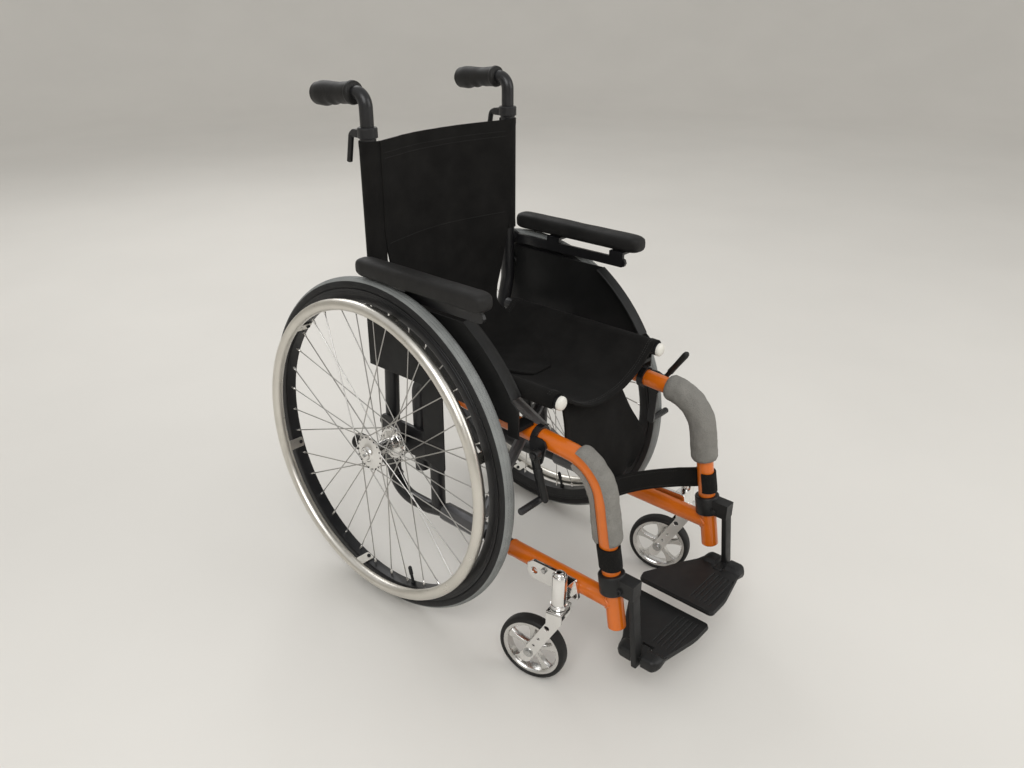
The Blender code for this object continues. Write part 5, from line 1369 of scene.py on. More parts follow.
    def housing(self) -> Piece:
        """Bearing housing on its bolted plate.

        Returns:
            The piece.
        """
        face = PLAN.side_u + PLAN.frame_r + GAP
        base = self.fork_top_z + 0.0006
        corners = [(0, -0.392, 0.156), (0, -0.384, 0.19), (0, -0.3, 0.187)]
        corners += [(0, -0.289, 0.178), (0, -0.289, 0.16), (0, -0.3, 0.152)]
        path = bent([corners[-1], *corners, corners[0]], [0.004, 0.004, 0.004, 0.006, 0.005, 0.005], 20)
        outline = [(p.y, p.z) for p in path[1:-1]]
        hole = [(-0.304 + a, 0.1695 + b) for a, b in circle(0.0058, 28)]
        flat = stamped(outline, [hole], face, face + 0.006, 0.0008)
        marks = [(0, 0.0128), (0.01, 0.0135), (0.1, 0.0135), (0.11, 0.0117), (0.9, 0.0117)]
        marks += [(0.915, 0.011), (0.92, 0.0094), (0.955, 0.0088), (0.985, 0.007), (1, 0.0035)]
        barrel = turned((*self.stem, base), (*self.stem, self.housing_top_z + 0.005), marks, 40)
        rib = block((face + 0.003, self.stem[1] - 0.009, 0.162), (self.stem[0] - 0.004, self.stem[1] + 0.009, 0.19))
        bolts = [hexagon((face + 0.005, y, z), 0.005, 0.005) for y, z in ((-0.324, 0.179), (-0.346, 0.165))]
        mesh = merged(flat, barrel, rib, *bolts, slots=[0, 0, 0, 1, 1])
        return self.fit("bearing_housing", mesh, (POLISHED, BOLT_STEEL), "castor_housing", bevel=0.0007)

    def pieces(self) -> list[Piece]:
        """Builds this sub-assembly."""
        return [self.tyre(), self.wheel(), *self.fork(), self.housing()]


@dataclass
class SideFrame(Assembly):
    """Painted front frame, black rear frame and the foam sleeve on the front bend."""

    side: Side
    weld_r: float = 0.0019
    dip_z: float = 0.163
    dip_y: Pair = (-0.078, -0.042)
    rear_corner_y: float = 0.05
    elbow_y: float = -0.03
    column_bottom_z: float = 0.24
    strut_y: float = -0.067
    strut_top_z: float = 0.305
    back_set: Pair = (0.43, 0.5)
    collar_r: float = 0.0154
    foam_r: float = 0.0225
    foam_start_y: float = -0.344
    foam_end_z: Pair = (0.2715, 0.288)
    foam_skip: tuple[int, int] = (6, 0)
    foam_slit_deg: float = -1.5
    foam_slit_half_deg: float = 42.0

    def weld(self, middle: Vector, bar_r: float, post_r: float, way: Vector, up: Vector) -> Mesh:
        """Bead of weld where a bar meets a round post.

        Args:
            middle: Where the bar's line meets the post's line.
            bar_r: Radius of the bar.
            post_r: Radius of the post.
            way: Unit vector from the post along the bar.
            up: Unit vector along the post.

        Returns:
            The bead.
        """
        across = way.cross(up).normalized()
        line = []
        for side, rise in circle(bar_r, 40):
            reach = sqrt(max(post_r**2 - side**2, 0)) + 0.0004
            line.append(middle + across * side + up * rise + way * reach)
        sections = []
        for k, point in enumerate(line):
            along = (line[(k + 1) % 40] - line[k - 1]).normalized()
            out = (point - middle - way * (point - middle).dot(way)).normalized()
            other = along.cross(out).normalized()
            sections.append([point + out * a + other * b for a, b in circle(self.weld_r, 10)])
        return skin(sections, True)

    def front(self) -> list[Piece]:
        """The bent orange tube with its lower tube, welds and end plug.

        Returns:
            The pieces.
        """
        main = tube(PLAN.front_path(PLAN.top_joint_y, PLAN.stub_bottom_z), PLAN.frame_r, 36)
        post = Vector((PLAN.side_u, PLAN.post_y(PLAN.lower_z), PLAN.lower_z))
        lower = tube([(PLAN.side_u, PLAN.lower_joint_y, PLAN.lower_z), post], PLAN.frame_r, 36)
        up = Vector((0, PLAN.post_lean, 1)).normalized()
        bead = self.weld(post, PLAN.frame_r, PLAN.frame_r, Vector((0, 1, 0)), up)
        low = Vector((PLAN.side_u, PLAN.post_y(PLAN.stub_bottom_z), PLAN.stub_bottom_z))
        marks = [(0, 0.0136), (0.45, 0.0136), (0.8, 0.0126), (1, 0.009)]
        plug = turned(low + up * 0.002, low - up * 0.0022, marks, 32)
        sleeves = []
        for y, z in ((PLAN.top_joint_y, PLAN.top_joint_z), (PLAN.lower_joint_y, PLAN.lower_z)):
            tilt = PLAN.top_slope if z > PLAN.axle_z else 0.0
            start = Vector((PLAN.side_u, y - 0.004, z - 0.004 * tilt))
            end = Vector((PLAN.side_u, y - 0.0001, z))
            sleeves.append(turned(start, end, [(0, 0.0139), (0.2, 0.0145), (0.9, 0.0145), (1, 0.0139)], 36))
        mesh = merged(main, lower, bead, plug, *sleeves, slots=[0, 0, 0, 1, 0, 0])
        return [self.fit("orange_frame", mesh, (ORANGE, PLASTIC), "front_frame")]

    def rear(self) -> list[Piece]:
        """The black tubes round the wheel's axle, the back post and their fittings.

        Returns:
            The pieces.
        """
        u, r = PLAN.side_u, PLAN.rear_r
        corners = [
            (u, PLAN.lower_joint_y + GAP, PLAN.lower_z), (u, self.dip_y[0], PLAN.lower_z),
            (u, self.dip_y[1], self.dip_z), (u, self.rear_corner_y, self.dip_z), (u, PLAN.back_y, self.back_set[0]),
            (PLAN.back_u, PLAN.back_y, self.back_set[1]), (PLAN.back_u, PLAN.back_y, PLAN.back_top_z - 0.0005),
        ]
        tubes = [tube(bent(corners, [0.03, 0.03, 0.05, 0.05, 0.05], 6), r, 32, (1, 0.001, 0))]
        elbow_z = PLAN.top_z(self.elbow_y)
        elbow = [(u, PLAN.top_joint_y + GAP, PLAN.top_joint_z), (u, self.elbow_y, elbow_z)]
        elbow.append((u, self.elbow_y, self.column_bottom_z))
        tubes.append(tube(bent(elbow, 0.03, 6), r, 32))
        tubes.append(rod((u, self.strut_y, self.dip_z + 0.004), (u, self.strut_y, self.strut_top_z), r))
        tipper = bent([(u, 0.034, 0.198), (u, 0.072, 0.222), (u, 0.15, 0.228)], 0.03, 5)
        tubes.append(tube(tipper, 0.0095, 28))
        collar = turned(
            (PLAN.back_u, PLAN.back_y, PLAN.back_top_z - 0.016), (PLAN.back_u, PLAN.back_y, PLAN.back_top_z),
            [(0, 0.0138), (0.06, self.collar_r), (0.9, self.collar_r), (1, self.collar_r - 0.0015), (1, 0.0108)], 36,
        )
        low, high = PLAN.axle_z - 0.0255, PLAN.axle_z + 0.03
        outline = arc((0.042, high - 0.012), 0.012, 0, 90, 8) + arc((-0.07, high - 0.012), 0.012, 90, 180, 8)
        outline += arc((-0.07, low + 0.012), 0.012, 180, 270, 8) + arc((0.042, low + 0.012), 0.012, 270, 360, 8)
        face = u + r - 0.003
        band = stamped(outline, [], face, face + 0.007, 0.0009)
        receiver = moved(rod((-0.0733, 0, 0), (-0.0343, 0, 0), 0.0105, 32), PLAN.wheel_frame())
        pivot_z = PLAN.back_top_z - 0.01
        ears = []
        for s in (-1, 1):
            near = PLAN.back_u + s * 0.0063
            far, root = near + s * 0.003, PLAN.back_y + r - 0.001
            ear = [(root, pivot_z - 0.006), (PLAN.clamp_y, pivot_z - 0.006)]
            ear += arc((PLAN.clamp_y, pivot_z), 0.006, -80, 80, 8)
            ear += [(PLAN.clamp_y, pivot_z + 0.006), (root, pivot_z + 0.006)]
            ears.append(stamped(ear, [], min(near, far), max(near, far), 0.0004))
        lug = rod((PLAN.back_u, PLAN.back_y, PLAN.arm_pivot_z), (0.1729, PLAN.back_y, PLAN.arm_pivot_z), 0.012, 32)
        mesh = merged(*tubes, collar, band, receiver, *ears, lug)
        return [self.fit("black_frame", mesh, BLACK_TUBE, "rear_frame", angle=35), self.fittings(face)]

    def fittings(self, face: float) -> Piece:
        """The tipping tube's grooved cap, the strut's knob and the axle plate's bolts.

        Args:
            face: Where the plate's inner face is along X.

        Returns:
            The piece.
        """
        u = PLAN.side_u
        marks = [(0, 0.0135), (0.04, 0.0155), (0.8, 0.0155), (0.93, 0.0135), (1, 0.0085)]
        parts = [turned((u, 0.118, 0.226), (u, 0.153, 0.228), marks, 32)]
        for y, z in ((0.124, 0.2263), (0.13, 0.2267), (0.136, 0.227)):
            ring = [(u + a, y, z + b) for a, b in circle(0.0156, 32)]
            parts.append(tube(ring, 0.0006, 8, (0, 1, 0), True))
        marks = [(0, 0.007), (0.5, 0.007), (0.53, 0.0105), (0.6, 0.011), (0.95, 0.01), (1, 0.008)]
        parts.append(turned((u, 0.04, 0.303), (u, 0.068, 0.303), marks, 20))
        bolts = [hexagon((face + 0.0066, y, PLAN.axle_z + 0.002), 0.0052, 0.004) for y in (-0.066, 0.03)]
        mesh = merged(*parts, *bolts, slots=[0] * len(parts) + [1] * len(bolts))
        return self.fit("frame_fittings", mesh, (RUBBER, BOLT_STEEL), "rear_frame", False)

    def foam(self) -> Piece:
        """Split foam sleeve, dented and a little open along its slit.

        Returns:
            The piece.
        """
        left = int(self.side is Side.LEFT)
        path = PLAN.front_path(self.foam_start_y, self.foam_end_z[left], 2.5)[self.foam_skip[left] :]
        fine = []
        for a, b in zip(path, path[1:]):
            steps = max(1, round((b - a).length / 0.003))
            fine += [a.lerp(b, k / steps) for k in range(steps)]
        fine.append(path[-1])
        from_deg = self.foam_slit_deg + self.foam_slit_half_deg
        to_deg = self.foam_slit_deg + 360 - self.foam_slit_half_deg
        inner = PLAN.frame_r + 0.0004
        rings = []
        last = len(fine) - 1
        for i, point in enumerate(fine):
            along = (fine[min(i + 1, last)] - fine[max(i - 1, 0)]).normalized()
            across = Vector((1, 0, 0))
            other = along.cross(across)
            pinch = 1.0 - 0.35 * exp(-(min(i, last - i) / 1.2) ** 2)
            ragged = 3.0 * noise.noise(Vector((i * 0.11, 3.0 * self.side.value, 0)))
            ring = []
            steps = 44
            for k in range(steps + 1):
                deg = from_deg + ragged + (to_deg - from_deg - 2 * ragged) * k / steps
                a = radians(deg)
                direction = across * cos(a) + other * sin(a)
                spot = point + direction * self.foam_r
                dent = 0.0011 * noise.noise(spot * 75 + Vector((self.side.value * 4.0, 0, 0)))
                dent += 0.0005 * noise.noise(spot * 260)
                lip = 0.0016 * exp(-(min(k, steps - k) / 1.5) ** 2)
                ring.append(point + direction * (inner + (self.foam_r - inner + dent - lip) * pinch))
            for k in range(steps, -1, -4):
                deg = from_deg + ragged + (to_deg - from_deg - 2 * ragged) * k / steps
                a = radians(deg)
                ring.append(point + (across * cos(a) + other * sin(a)) * inner)
            rings.append(ring)
        piece = self.fit("tube_foam", skin(rings), FOAM_GREY, "foam_sleeve", angle=70)
        return piece

    def pieces(self) -> list[Piece]:
        """Builds this sub-assembly."""
        return [*self.front(), *self.rear(), self.foam()]


@dataclass
class SeatUnit(Assembly):
    """Seat rails and their caps, the cross brace, the seat cloth and the flap below it."""

    cloth_thick: float = 0.0025
    sag: float = 0.0505
    power: float = 2.2
    front_y: float = -0.318
    rear_y: float = -0.006
    leave_deg: float = 150.0
    wrap_deg: float = -25.0
    ring_r: float = 0.0134
    gather: Triple = (0.87, 0.0, 0.493)
    gather_keep: float = 0.72

    def sling_z(self, x: float, y: float) -> float:
        """Height of the seat cloth's middle surface between the rails.

        Args:
            x: Place across the seat.
            y: Place along it.

        Returns:
            The height.
        """
        leave = radians(self.leave_deg)
        reach = PLAN.rail_u + self.ring_r * cos(leave)
        edge = PLAN.rail_z + self.ring_r * sin(leave)
        share = (y - self.rear_y) / (self.front_y - self.rear_y)
        sag = self.sag * (0.84 + 0.16 * min(max(share, 0.0), 1.0))
        return edge - sag * (1 - (min(abs(x), reach) / reach) ** self.power)

    def sling(self) -> Piece:
        """Seat cloth wrapped over both rails, hemmed and stitched in front and behind.

        Returns:
            The piece.
        """
        reach = PLAN.rail_u + self.ring_r * cos(radians(self.leave_deg))
        wraps = arc((PLAN.rail_u, PLAN.rail_z), self.ring_r, self.wrap_deg, self.leave_deg, 14)
        count = 40
        spans = [reach * (1 - i / count) for i in range(1, count + 1)]
        rows = []
        for i in range(79):
            share = i / 78
            y = self.rear_y + (self.front_y - self.rear_y) * share
            half = [Vector((x, y, z)) for x, z in wraps]
            for x in spans:
                ease = sin(pi * min(1.0, (reach - x) / 0.03) / 2)
                drape = 0.0016 * ease * noise.noise(Vector((x * 26, y * 9, 1.0)))
                pull = 0.0012 * ease * sin(y * 95 + x * 21) * exp(-((reach - x) / 0.045))
                half.append(Vector((x, y, self.sling_z(x, y) + drape + pull)))
            other = []
            for point in reversed(half[:-1]):
                x = point.x
                ease = sin(pi * min(1.0, max(0.0, reach - x) / 0.03) / 2)
                drape = 0.0016 * ease * noise.noise(Vector((x * 26, y * 9, 7.0))) if x < reach else 0.0
                base = self.sling_z(x, y) + drape if x < reach else point.z
                other.append(Vector((-x, y, base)))
            middle = len(half) - 1
            half[middle].z = (half[middle - 1].z + other[0].z) / 2
            rows.append(half + other)
        sheet = cloth(rows, self.cloth_thick, hem=0.014)
        lines = [stitched(rows, i, -(self.cloth_thick / 2 + 0.0007), 6) for i in (2, 3, 75, 76)]
        lines += [stitched(rows, i, self.cloth_thick / 2 + 0.0007, 6) for i in (2, 3, 75, 76)]
        mesh = merged(sheet, *lines, slots=[0] + [1] * len(lines))
        piece = put("seat_cloth", mesh, (SEAT_CLOTH, THREAD), None, instead_of=("seat_sling",), angle=60)
        y, z = (self.front_y + self.rear_y) / 2 + CHAIR_Y, PLAN.rail_z
        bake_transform(piece)
        return piece

    def flap(self) -> Piece:
        """Loose flap that hangs from the front of the seat in soft folds.

        Returns:
            The piece.
        """
        edges = [(-0.095, 0.052, 0.0), (-0.088, 0.086, 0.095), (-0.074, 0.11, 0.135)]
        edges += [(-0.048, 0.124, 0.173), (0.005, 0.084, 0.205)]
        coarse = []
        for i, (left, right, drop) in enumerate(edges):
            y = -0.299 - 0.017 * i / 4
            row = []
            for j in range(7):
                share = j / 6
                x, fold = left + (right - left) * share, 0.0035 * i / 4 * sin(share * 3 * pi)
                hem = PLAN.rail_z - drop - 0.006 * i / 4 * (1 - abs(2 * share - 1))
                row.append(Vector((x, y + fold, hem if i else self.sling_z(x, y) - self.cloth_thick / 2 - 0.0012)))
            coarse.append(row)
        grid = crumpled(refined(coarse, 11, 9), 0.0035, 0.05, 2.0)
        lines = [stitched(grid, len(grid) - 3, 0.0022, 2)]
        mesh = merged(cloth(grid, 0.0026, hem=0.008), *lines, slots=[0, 1])
        piece = put("seat_flap", mesh, (SEAT_CLOTH, THREAD), "brace_left", instead_of=("under_seat_flap",), angle=60)
        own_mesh(piece)
        return piece

    def caps(self) -> list[Piece]:
        """Domed white plugs on the rails' front ends.

        Returns:
            The pieces.
        """
        made = []
        for self.side in Side:
            start = Vector((PLAN.rail_u, -0.322 - GAP, PLAN.rail_z))
            marks = [(0, 0.0104), (0.06, 0.011), (0.42, 0.011), (0.62, 0.0104)]
            marks += [(0.8, 0.0088), (0.93, 0.0058), (1, 0.002)]
            mesh = turned(start, start - Vector((0, 0.008, 0)), marks, 40)
            made.append(self.fit("domed_cap", mesh, CAP_WHITE, "rail_cap", angle=50))
        return made

    def brace(self) -> list[Piece]:
        """The rails' and brace's own tubes in their finishes.

        Returns:
            The pieces.
        """
        made = [redress(f"seat_rail_{side.word}", BLACK_TUBE) for side in Side]
        made += [redress(f"cross_arm_{side.word}", BRACE_GREY) for side in Side]
        return made + [redress("cross_brace_pivot_bolt", BOLT_STEEL)]

    def pieces(self) -> list[Piece]:
        """Builds this sub-assembly."""
        return [*self.brace(), *self.caps(), self.sling(), self.flap()]


@dataclass
class BackRest(Assembly):
    """Back cloth between the posts, its two sleeves and the apron that lies on the seat."""

    seat: SeatUnit
    thick: float = 0.0018
    top_z: float = 0.793
    half: float = 0.1475
    ring_r: float = 0.0137
    wrap_bottom_z: float = 0.6
    bow: float = 0.024
    lift: float = 0.0035
    keep: float = 0.63

    def coarse(self) -> Grid:
        """The back cloth's main points, from its top edge to the apron's tip.

        Returns:
            Their rows.
        """
        front = PLAN.back_y - 0.0141
        shares = [i / 4 - 1 for i in range(9)]
        rows = []
        levels = ((self.top_z, self.half, 1.0), (0.72, self.half, 1.0), (0.645, self.half, 1.0), (0.595, 0.1395, 0.9))
        for z, half, bow in (*levels, (0.54, 0.126, 0.8), (0.495, 0.112, 0.4)):
            rows.append([Vector((half * s, front + self.bow * bow * (1 - s * s), z)) for s in shares])
        for y, half in ((0.006, 0.1), (-0.035, 0.097), (-0.085, 0.088), (-0.14, 0.062), (-0.182, 0.022)):
            lift = self.lift + (0.014 if y > 0 else 0.0)
            rows.append([Vector((half * s, y, self.seat.sling_z(half * s, y) + lift)) for s in shares])
        return rows

    def panel(self) -> tuple[Piece, Grid]:
        """The panel with its apron.

        Returns:
            The piece and its grid.
        """
        grid = refined(self.coarse(), 9, 10)
        grid = crumpled(grid, 0.003, 0.075, 5.0, 0.12)
        grid = crumpled(grid, 0.0012, 0.024, 9.0, 0.12)
        lines = [stitched(grid, row, s * (self.thick / 2 + 0.0003), 2) for row in (3, 4, 20) for s in (-1, 1)]
        mesh = merged(cloth(grid, self.thick, hem=0.012), *lines, slots=[0] + [1] * len(lines))
        piece = put("back_cloth", mesh, (SEAT_CLOTH, THREAD), "right_side", instead_of=("back_upholstery",), angle=60)
        return piece, grid

    def sleeves(self) -> list[Piece]:
        """The sleeves that hold the cloth on the posts.

        Returns:
            The pieces.
        """
        made = []
        for self.side in Side:
            line = [(PLAN.back_u - PLAN.rear_r, PLAN.back_y - self.ring_r + 0.0014)]
            line += arc((PLAN.back_u, PLAN.back_y), self.ring_r, -114, 138, 21)
            rows = []
            for i in range(60):
                z = self.top_z + (self.wrap_bottom_z - self.top_z) * i / 59
                row = []
                for x, y in line:
                    way = Vector((x - PLAN.back_u, y - PLAN.back_y, 0)) / self.ring_r
                    pull = max(0.0, noise.noise(Vector((x * 60, y * 60, z * 26)))) if x < PLAN.back_u else 0.0
                    row.append(Vector((x, y, z)) + way * pull * 0.0006)
                rows.append(row)
            mesh = cloth(rows, self.thick - 0.0003, hem=0.01, proud=0.0004)
            body = "right_side" if self.side is Side.RIGHT else "left_side"
            made.append(put(self.named("back_sleeve"), mesh, SEAT_CLOTH, body, self.side, angle=60))
        return made

    def pieces(self) -> list[Piece]:
        """Builds this sub-assembly.

        Returns:
            The pieces.
        """
        piece, grid = self.panel()
        sleeves = self.sleeves()
        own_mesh(piece)
        return [piece, *sleeves]


@dataclass
class PushHandle(Assembly):
    """Push handle tube, its ribbed grip and the clamp lever."""

    side: Side
    radius: float = 0.0105
    bottom_z: float = 0.612
    top_z: float = 0.8625
    end: Pair = (0.146, 0.853)
    grip_start_y: float = 0.058
    grip_length: float = 0.098

    def tube_piece(self) -> Piece:
        """The bent black tube.

        Returns:
            The piece.
        """
        spots = ((PLAN.back_y, self.bottom_z), (PLAN.back_y, self.top_z), self.end)
        path = bent([(PLAN.back_u, *spot) for spot in spots], 0.0195, 5)
        return self.fit("handle_tube", tube(path, self.radius, 32), BLACK_TUBE, "push_handle")

    def grip(self) -> Piece:
        """Moulded grip with finger ribs below and a bulb at its end.

        Returns:
            The piece.
        """
        along = Vector((0, self.end[0] - PLAN.back_y, self.end[1] - self.top_z)).normalized()
        start = Vector((PLAN.back_u, PLAN.back_y, self.top_z)) + along * (self.grip_start_y - PLAN.back_y) / along.y
        across = Vector((1, 0, 0))
        up = across.cross(along) * -1
        if up.z < 0:
            up = -up
        keys = [(0, 0.014), (0.015, 0.0168), (0.07, 0.0178), (0.1, 0.0166), (0.35, 0.0158)]
        keys += [(0.78, 0.0187), (0.93, 0.0172), (0.98, 0.013), (1, 0.007)]
        rings = []
        steps = 90
        for i in range(steps + 1):
            share = i / steps
            low = max(k for k in range(len(keys) - 1) if keys[k][0] <= share)
            (s0, r0), (s1, r1) = keys[low], keys[low + 1]
            t = (share - s0) / (s1 - s0)
            radius = r0 + (r1 - r0) * (t * t * (3 - 2 * t) if 2 < low < 6 else sin(t * pi / 2))
            middle = start + along * self.grip_length * share
            ring = []
            for k in range(40):
                a = 2 * pi * k / 40
                lower = max(0.0, -sin(a))
                inside = max(0.0, 1 - abs(2 * share - 1.05) / 0.75)
                wave = 0.0011 * lower * inside * sin(share * pi * 9)
                ribs = 0.0003 * inside * sin(share * pi * 60) * (1 if abs(cos(a)) > 0.6 else 0)
                ring.append(middle + (across * cos(a) + up * sin(a)) * (radius + wave + ribs))
            rings.append(ring)
        return self.fit("ribbed_grip", skin(rings), RUBBER, "handle_grip", angle=50)

    def lever(self) -> Piece:
        """Hooked clamp lever on its pin.

        Returns:
            The piece.
        """
        pivot = Vector((PLAN.back_u, PLAN.clamp_y, PLAN.back_top_z - 0.01))
        knee = pivot + Vector((0, 0.0155, -0.001))
        tip = pivot + Vector((0, 0.025, -0.046))
        bar = tube(bent([pivot, knee, tip], 0.009, 6), 0.0045, 24)
        marks = [(0, 0.0045), (0.6, 0.0042), (1, 0.0025)]
        end = turned(tip + Vector((0, -0.0002, 0.0018)), tip - Vector((0, -0.0003, 0.0012)), marks, 24)
        half, reach = Vector((0.006, 0, 0)), Vector((0.0088, 0, 0))
        parts = [bar, end, rod(pivot - half, pivot + half, 0.0058, 28), rod(pivot - reach, pivot + reach, 0.0022, 16)]
        return self.fit("clamp_hook", merged(*parts), PLASTIC, "handle_clamp_lever")

    def pieces(self) -> list[Piece]:
        """Builds this sub-assembly."""
        return [self.tube_piece(), self.grip(), self.lever()]


@dataclass
class Armrest(Assembly):
    """Armrest pad and its support."""

    side: Side
    pad_u: float = 0.1914
    half: float = 0.017
    height: float = 0.029
    middle_z: float = 0.60826
    rear_y: float = 0.034
    front_y: float = -0.238

    def pad(self) -> Piece:
        """Foam pad with a crowned top, rounded ends and a seam low on its side.

        Returns:
            The piece.
        """
        rings = []
        steps = 96
        for i in range(steps + 1):
            share = i / steps
            end = min(share, 1 - share) * abs(self.front_y - self.rear_y) / 0.02
            scale = sqrt(max(0.0, 1 - (1 - min(1.0, end)) ** 2)) * 0.42 + 0.58
            y = self.rear_y + (self.front_y - self.rear_y) * share
            ring = []
            for k in range(48):
                a = 2 * pi * k / 48
                ca, sa = cos(a), sin(a)
                wide = copysign(abs(ca) ** 0.62, ca)
                tall = copysign(abs(sa) ** (0.78 if sa > 0 else 0.45), sa)
                seam = 0.001 * exp(-((sa + 0.55) / 0.1) ** 2)
                puff = 0.0006 * noise.noise(Vector((wide * 2, y * 22, tall * 2 + self.side.value)))
                x = self.pad_u + (self.half - seam + puff) * wide * scale
                z = self.middle_z + (self.height / 2 + puff * max(0.0, tall)) * tall * scale
                ring.append(Vector((x, y, max(z, self.middle_z - self.height / 2))))
            rings.append(ring)
        return self.fit("crowned_pad", skin(rings), PAD_VINYL, "arm_pad", angle=55)

    def pieces(self) -> list[Piece]:
        """Builds this sub-assembly."""
        return [self.pad(), redress(self.named("arm_support"), BLACK_TUBE)]


@dataclass
class SideGuard(Assembly):
    """Side guard: a sheet whose front edge follows the tyre, with an inward flange."""

    side: Side
    thick: float = 0.0025
    clearance: float = 0.0035
    edge_over: float = 0.0215
    flange_width: float = 0.022
    top_z: float = 0.56
    front_deg: float = 32.0
    rear_y: float = 0.048
    leg_y: Pair = (-0.124, -0.077)
    leg_bottom_z: float = 0.28
    clip_y: Pair = (-0.283, -0.262)

    def edge(self) -> list[Pair]:
        """The guard's rounded front edge, which follows the tyre."""
        top_deg = degrees(asin((self.top_z - PLAN.axle_z) / self.edge_r()))
        return [(-y, z + PLAN.axle_z) for y, z in arc((0, 0), self.edge_r(), self.front_deg, top_deg, 30)]

    def edge_r(self) -> float:
        """Radius of that edge about the axle."""
        return PLAN.wheel_r + self.edge_over

    def clip_z(self) -> float:
        """Height of the clip on the top tube."""
        return PLAN.top_z(self.clip_y[0]) + PLAN.frame_r + 0.001

    def outline(self) -> list[Pair]:
        """The sheet's outline, with its leg and its clip.

        Returns:
            Its (y, z) points.
        """
        low_z, base_z = PLAN.top_z(self.leg_y[0]) + PLAN.frame_r + 0.004, self.clip_z() - 0.012
        points = [(self.clip_y[0], base_z), (self.clip_y[1], base_z), (self.clip_y[1], low_z - 0.004)]
        points += [(self.leg_y[0], low_z)] + arc((self.leg_y[0] + 0.01, self.leg_bottom_z + 0.01), 0.01, 180, 270, 8)
        points += [(self.leg_y[1], self.leg_bottom_z + 0.012), (self.leg_y[1], low_z), (self.rear_y, low_z)]
        points += arc((self.rear_y - 0.008, self.top_z - 0.008), 0.008, 0, 90, 6) + self.edge()[::-1]
        return [*points, (self.clip_y[0], self.edge()[0][1] - 0.012)]

    def pieces(self) -> list[Piece]:
        """Builds this sub-assembly.

        Returns:
            The pieces.
        """
        outer = PLAN.half_track - sin(PLAN.camber) * PLAN.wheel_r - PLAN.tyre_section_r - self.clearance
        inner, edge = outer - self.thick, self.edge()
        half, wall = self.flange_width / 2, self.thick / 2
        corner = [(-half + 0.001, wall), (-half, wall - 0.0006)]
        section = [(half, wall), *corner, *[(a, -b) for a, b in reversed(corner)], (half, -wall)]
        parts = [stamped(self.outline(), [], inner, outer, 0.0005)]
        parts.append(sweep([(outer - half, y, z) for y, z in edge], section))
        parts.append(tube([(inner - self.flange_width + self.thick + 0.0006, y, z) for y, z in edge], 0.0014, 12))
        for deg in (40, 47, 54):
            a = radians(deg)
            way = Vector((0, -cos(a), sin(a)))
            middle = Vector((outer - 0.0004, 0, PLAN.axle_z))
            parts.append(rod(middle + way * (self.edge_r() - 0.055), middle + way * (self.edge_r() - 0.004), 0.0007, 8))
        low, high = (PLAN.side_u + 0.002, self.clip_y[0], self.clip_z()), (outer - 0.001, self.clip_y[1])
        parts.append(block(low, (*high, self.clip_z() + 0.006)))
        screw = (PLAN.back_y, 0.53)
        parts.append(rod((PLAN.back_u + PLAN.rear_r + GAP, *screw), (outer - 0.001, *screw), 0.009, 24))
        marks = [(0, 0.0048), (0.5, 0.0044), (1, 0.0022)]
        head = turned((outer - 0.0002, *screw), (outer + 0.0016, *screw), marks, 20)
        mesh = merged(*parts, head, slots=[0] * len(parts) + [1])
        return [self.fit("guard_sheet", mesh, (GUARD_BLACK, BOLT_STEEL), "side_guard", bevel=0.0004)]


@dataclass
class Brake(Assembly):
    """Brake mount, its lever with a plastic grip and the shoe with its roller."""

    side: Side
    lever_pivot: Pair = (-0.312, 0.388)
    shoe_pivot: Pair = (-0.303, 0.372)
    lever_length: float = 0.076
    shoe_length: float = 0.0623
    plate_u: float = 0.156
    plate_half: float = 0.0035
    applied_deg: float = 272.37
    open_deg: float = 256.1

    def lever(self) -> Piece:
        """The lever with its grip, hanging when open and pushed forward when on.

        Returns:
            The piece.
        """
        deg = 254.0 if self.side is Side.RIGHT else 124.0
        way = Vector((0, cos(radians(deg)), sin(radians(deg))))
        half = Vector((0.0055, 0, 0))
        pivot = Vector((self.face_u() + 0.004 + 0.0025 + half.x, *self.lever_pivot))
        marks = [(0, 0.0042), (0.28, 0.0042), (0.285, 0.005), (0.3, 0.0056)]
        marks += [(0.55, 0.0052), (0.9, 0.0057), (0.965, 0.0048), (1, 0.0026)]
        bar = turned(pivot, pivot + way * self.lever_length, marks, 28)
        mesh = merged(bar, rod(pivot - half, pivot + half, 0.0085, 32))
        return self.fit("lever_with_grip", mesh, PLASTIC, "brake_lever")

    def shoe(self) -> Piece:
        """The shoe's arm with its ridged roller.

        Returns:
            The piece.
        """
        deg = self.open_deg if self.side is Side.RIGHT else self.applied_deg
        (y, z), a, inner = self.shoe_pivot, radians(deg), self.face_u()
        end = (y + self.shoe_length * cos(a), z + self.shoe_length * sin(a))
        outline = arc((y, z), 0.0072, deg + 90, deg + 270, 14) + arc(end, 0.006, deg - 90, deg + 90, 14)
        parts = [stamped(outline, [], inner, inner + 0.004, 0.0005)]
        marks = [(0, 0.0052), (0.03, 0.0055), (0.97, 0.0055), (1, 0.0045)]
        parts.append(turned((inner + 0.004, *end), (PLAN.half_track + 0.0095, *end), marks, 28))
        for k in range(7):
            ring = [(0.178 + 0.005 * k, end[0] + b, end[1] + c) for b, c in circle(0.0054, 24)]
            parts.append(tube(ring, 0.0004, 6, (1, 0, 0), True))
        return self.fit("shoe_arm", merged(*parts), BLACK_TUBE, "brake_shoe")

    def face_u(self) -> float:
        """Where the shoe's arm stands off the plate's outer face."""
        return self.plate_u + self.plate_half + GAP

    def pieces(self) -> list[Piece]:
        """Builds this sub-assembly."""
        return [self.lever(), self.shoe(), redress(self.named("brake_mount"), BLACK_TUBE)]


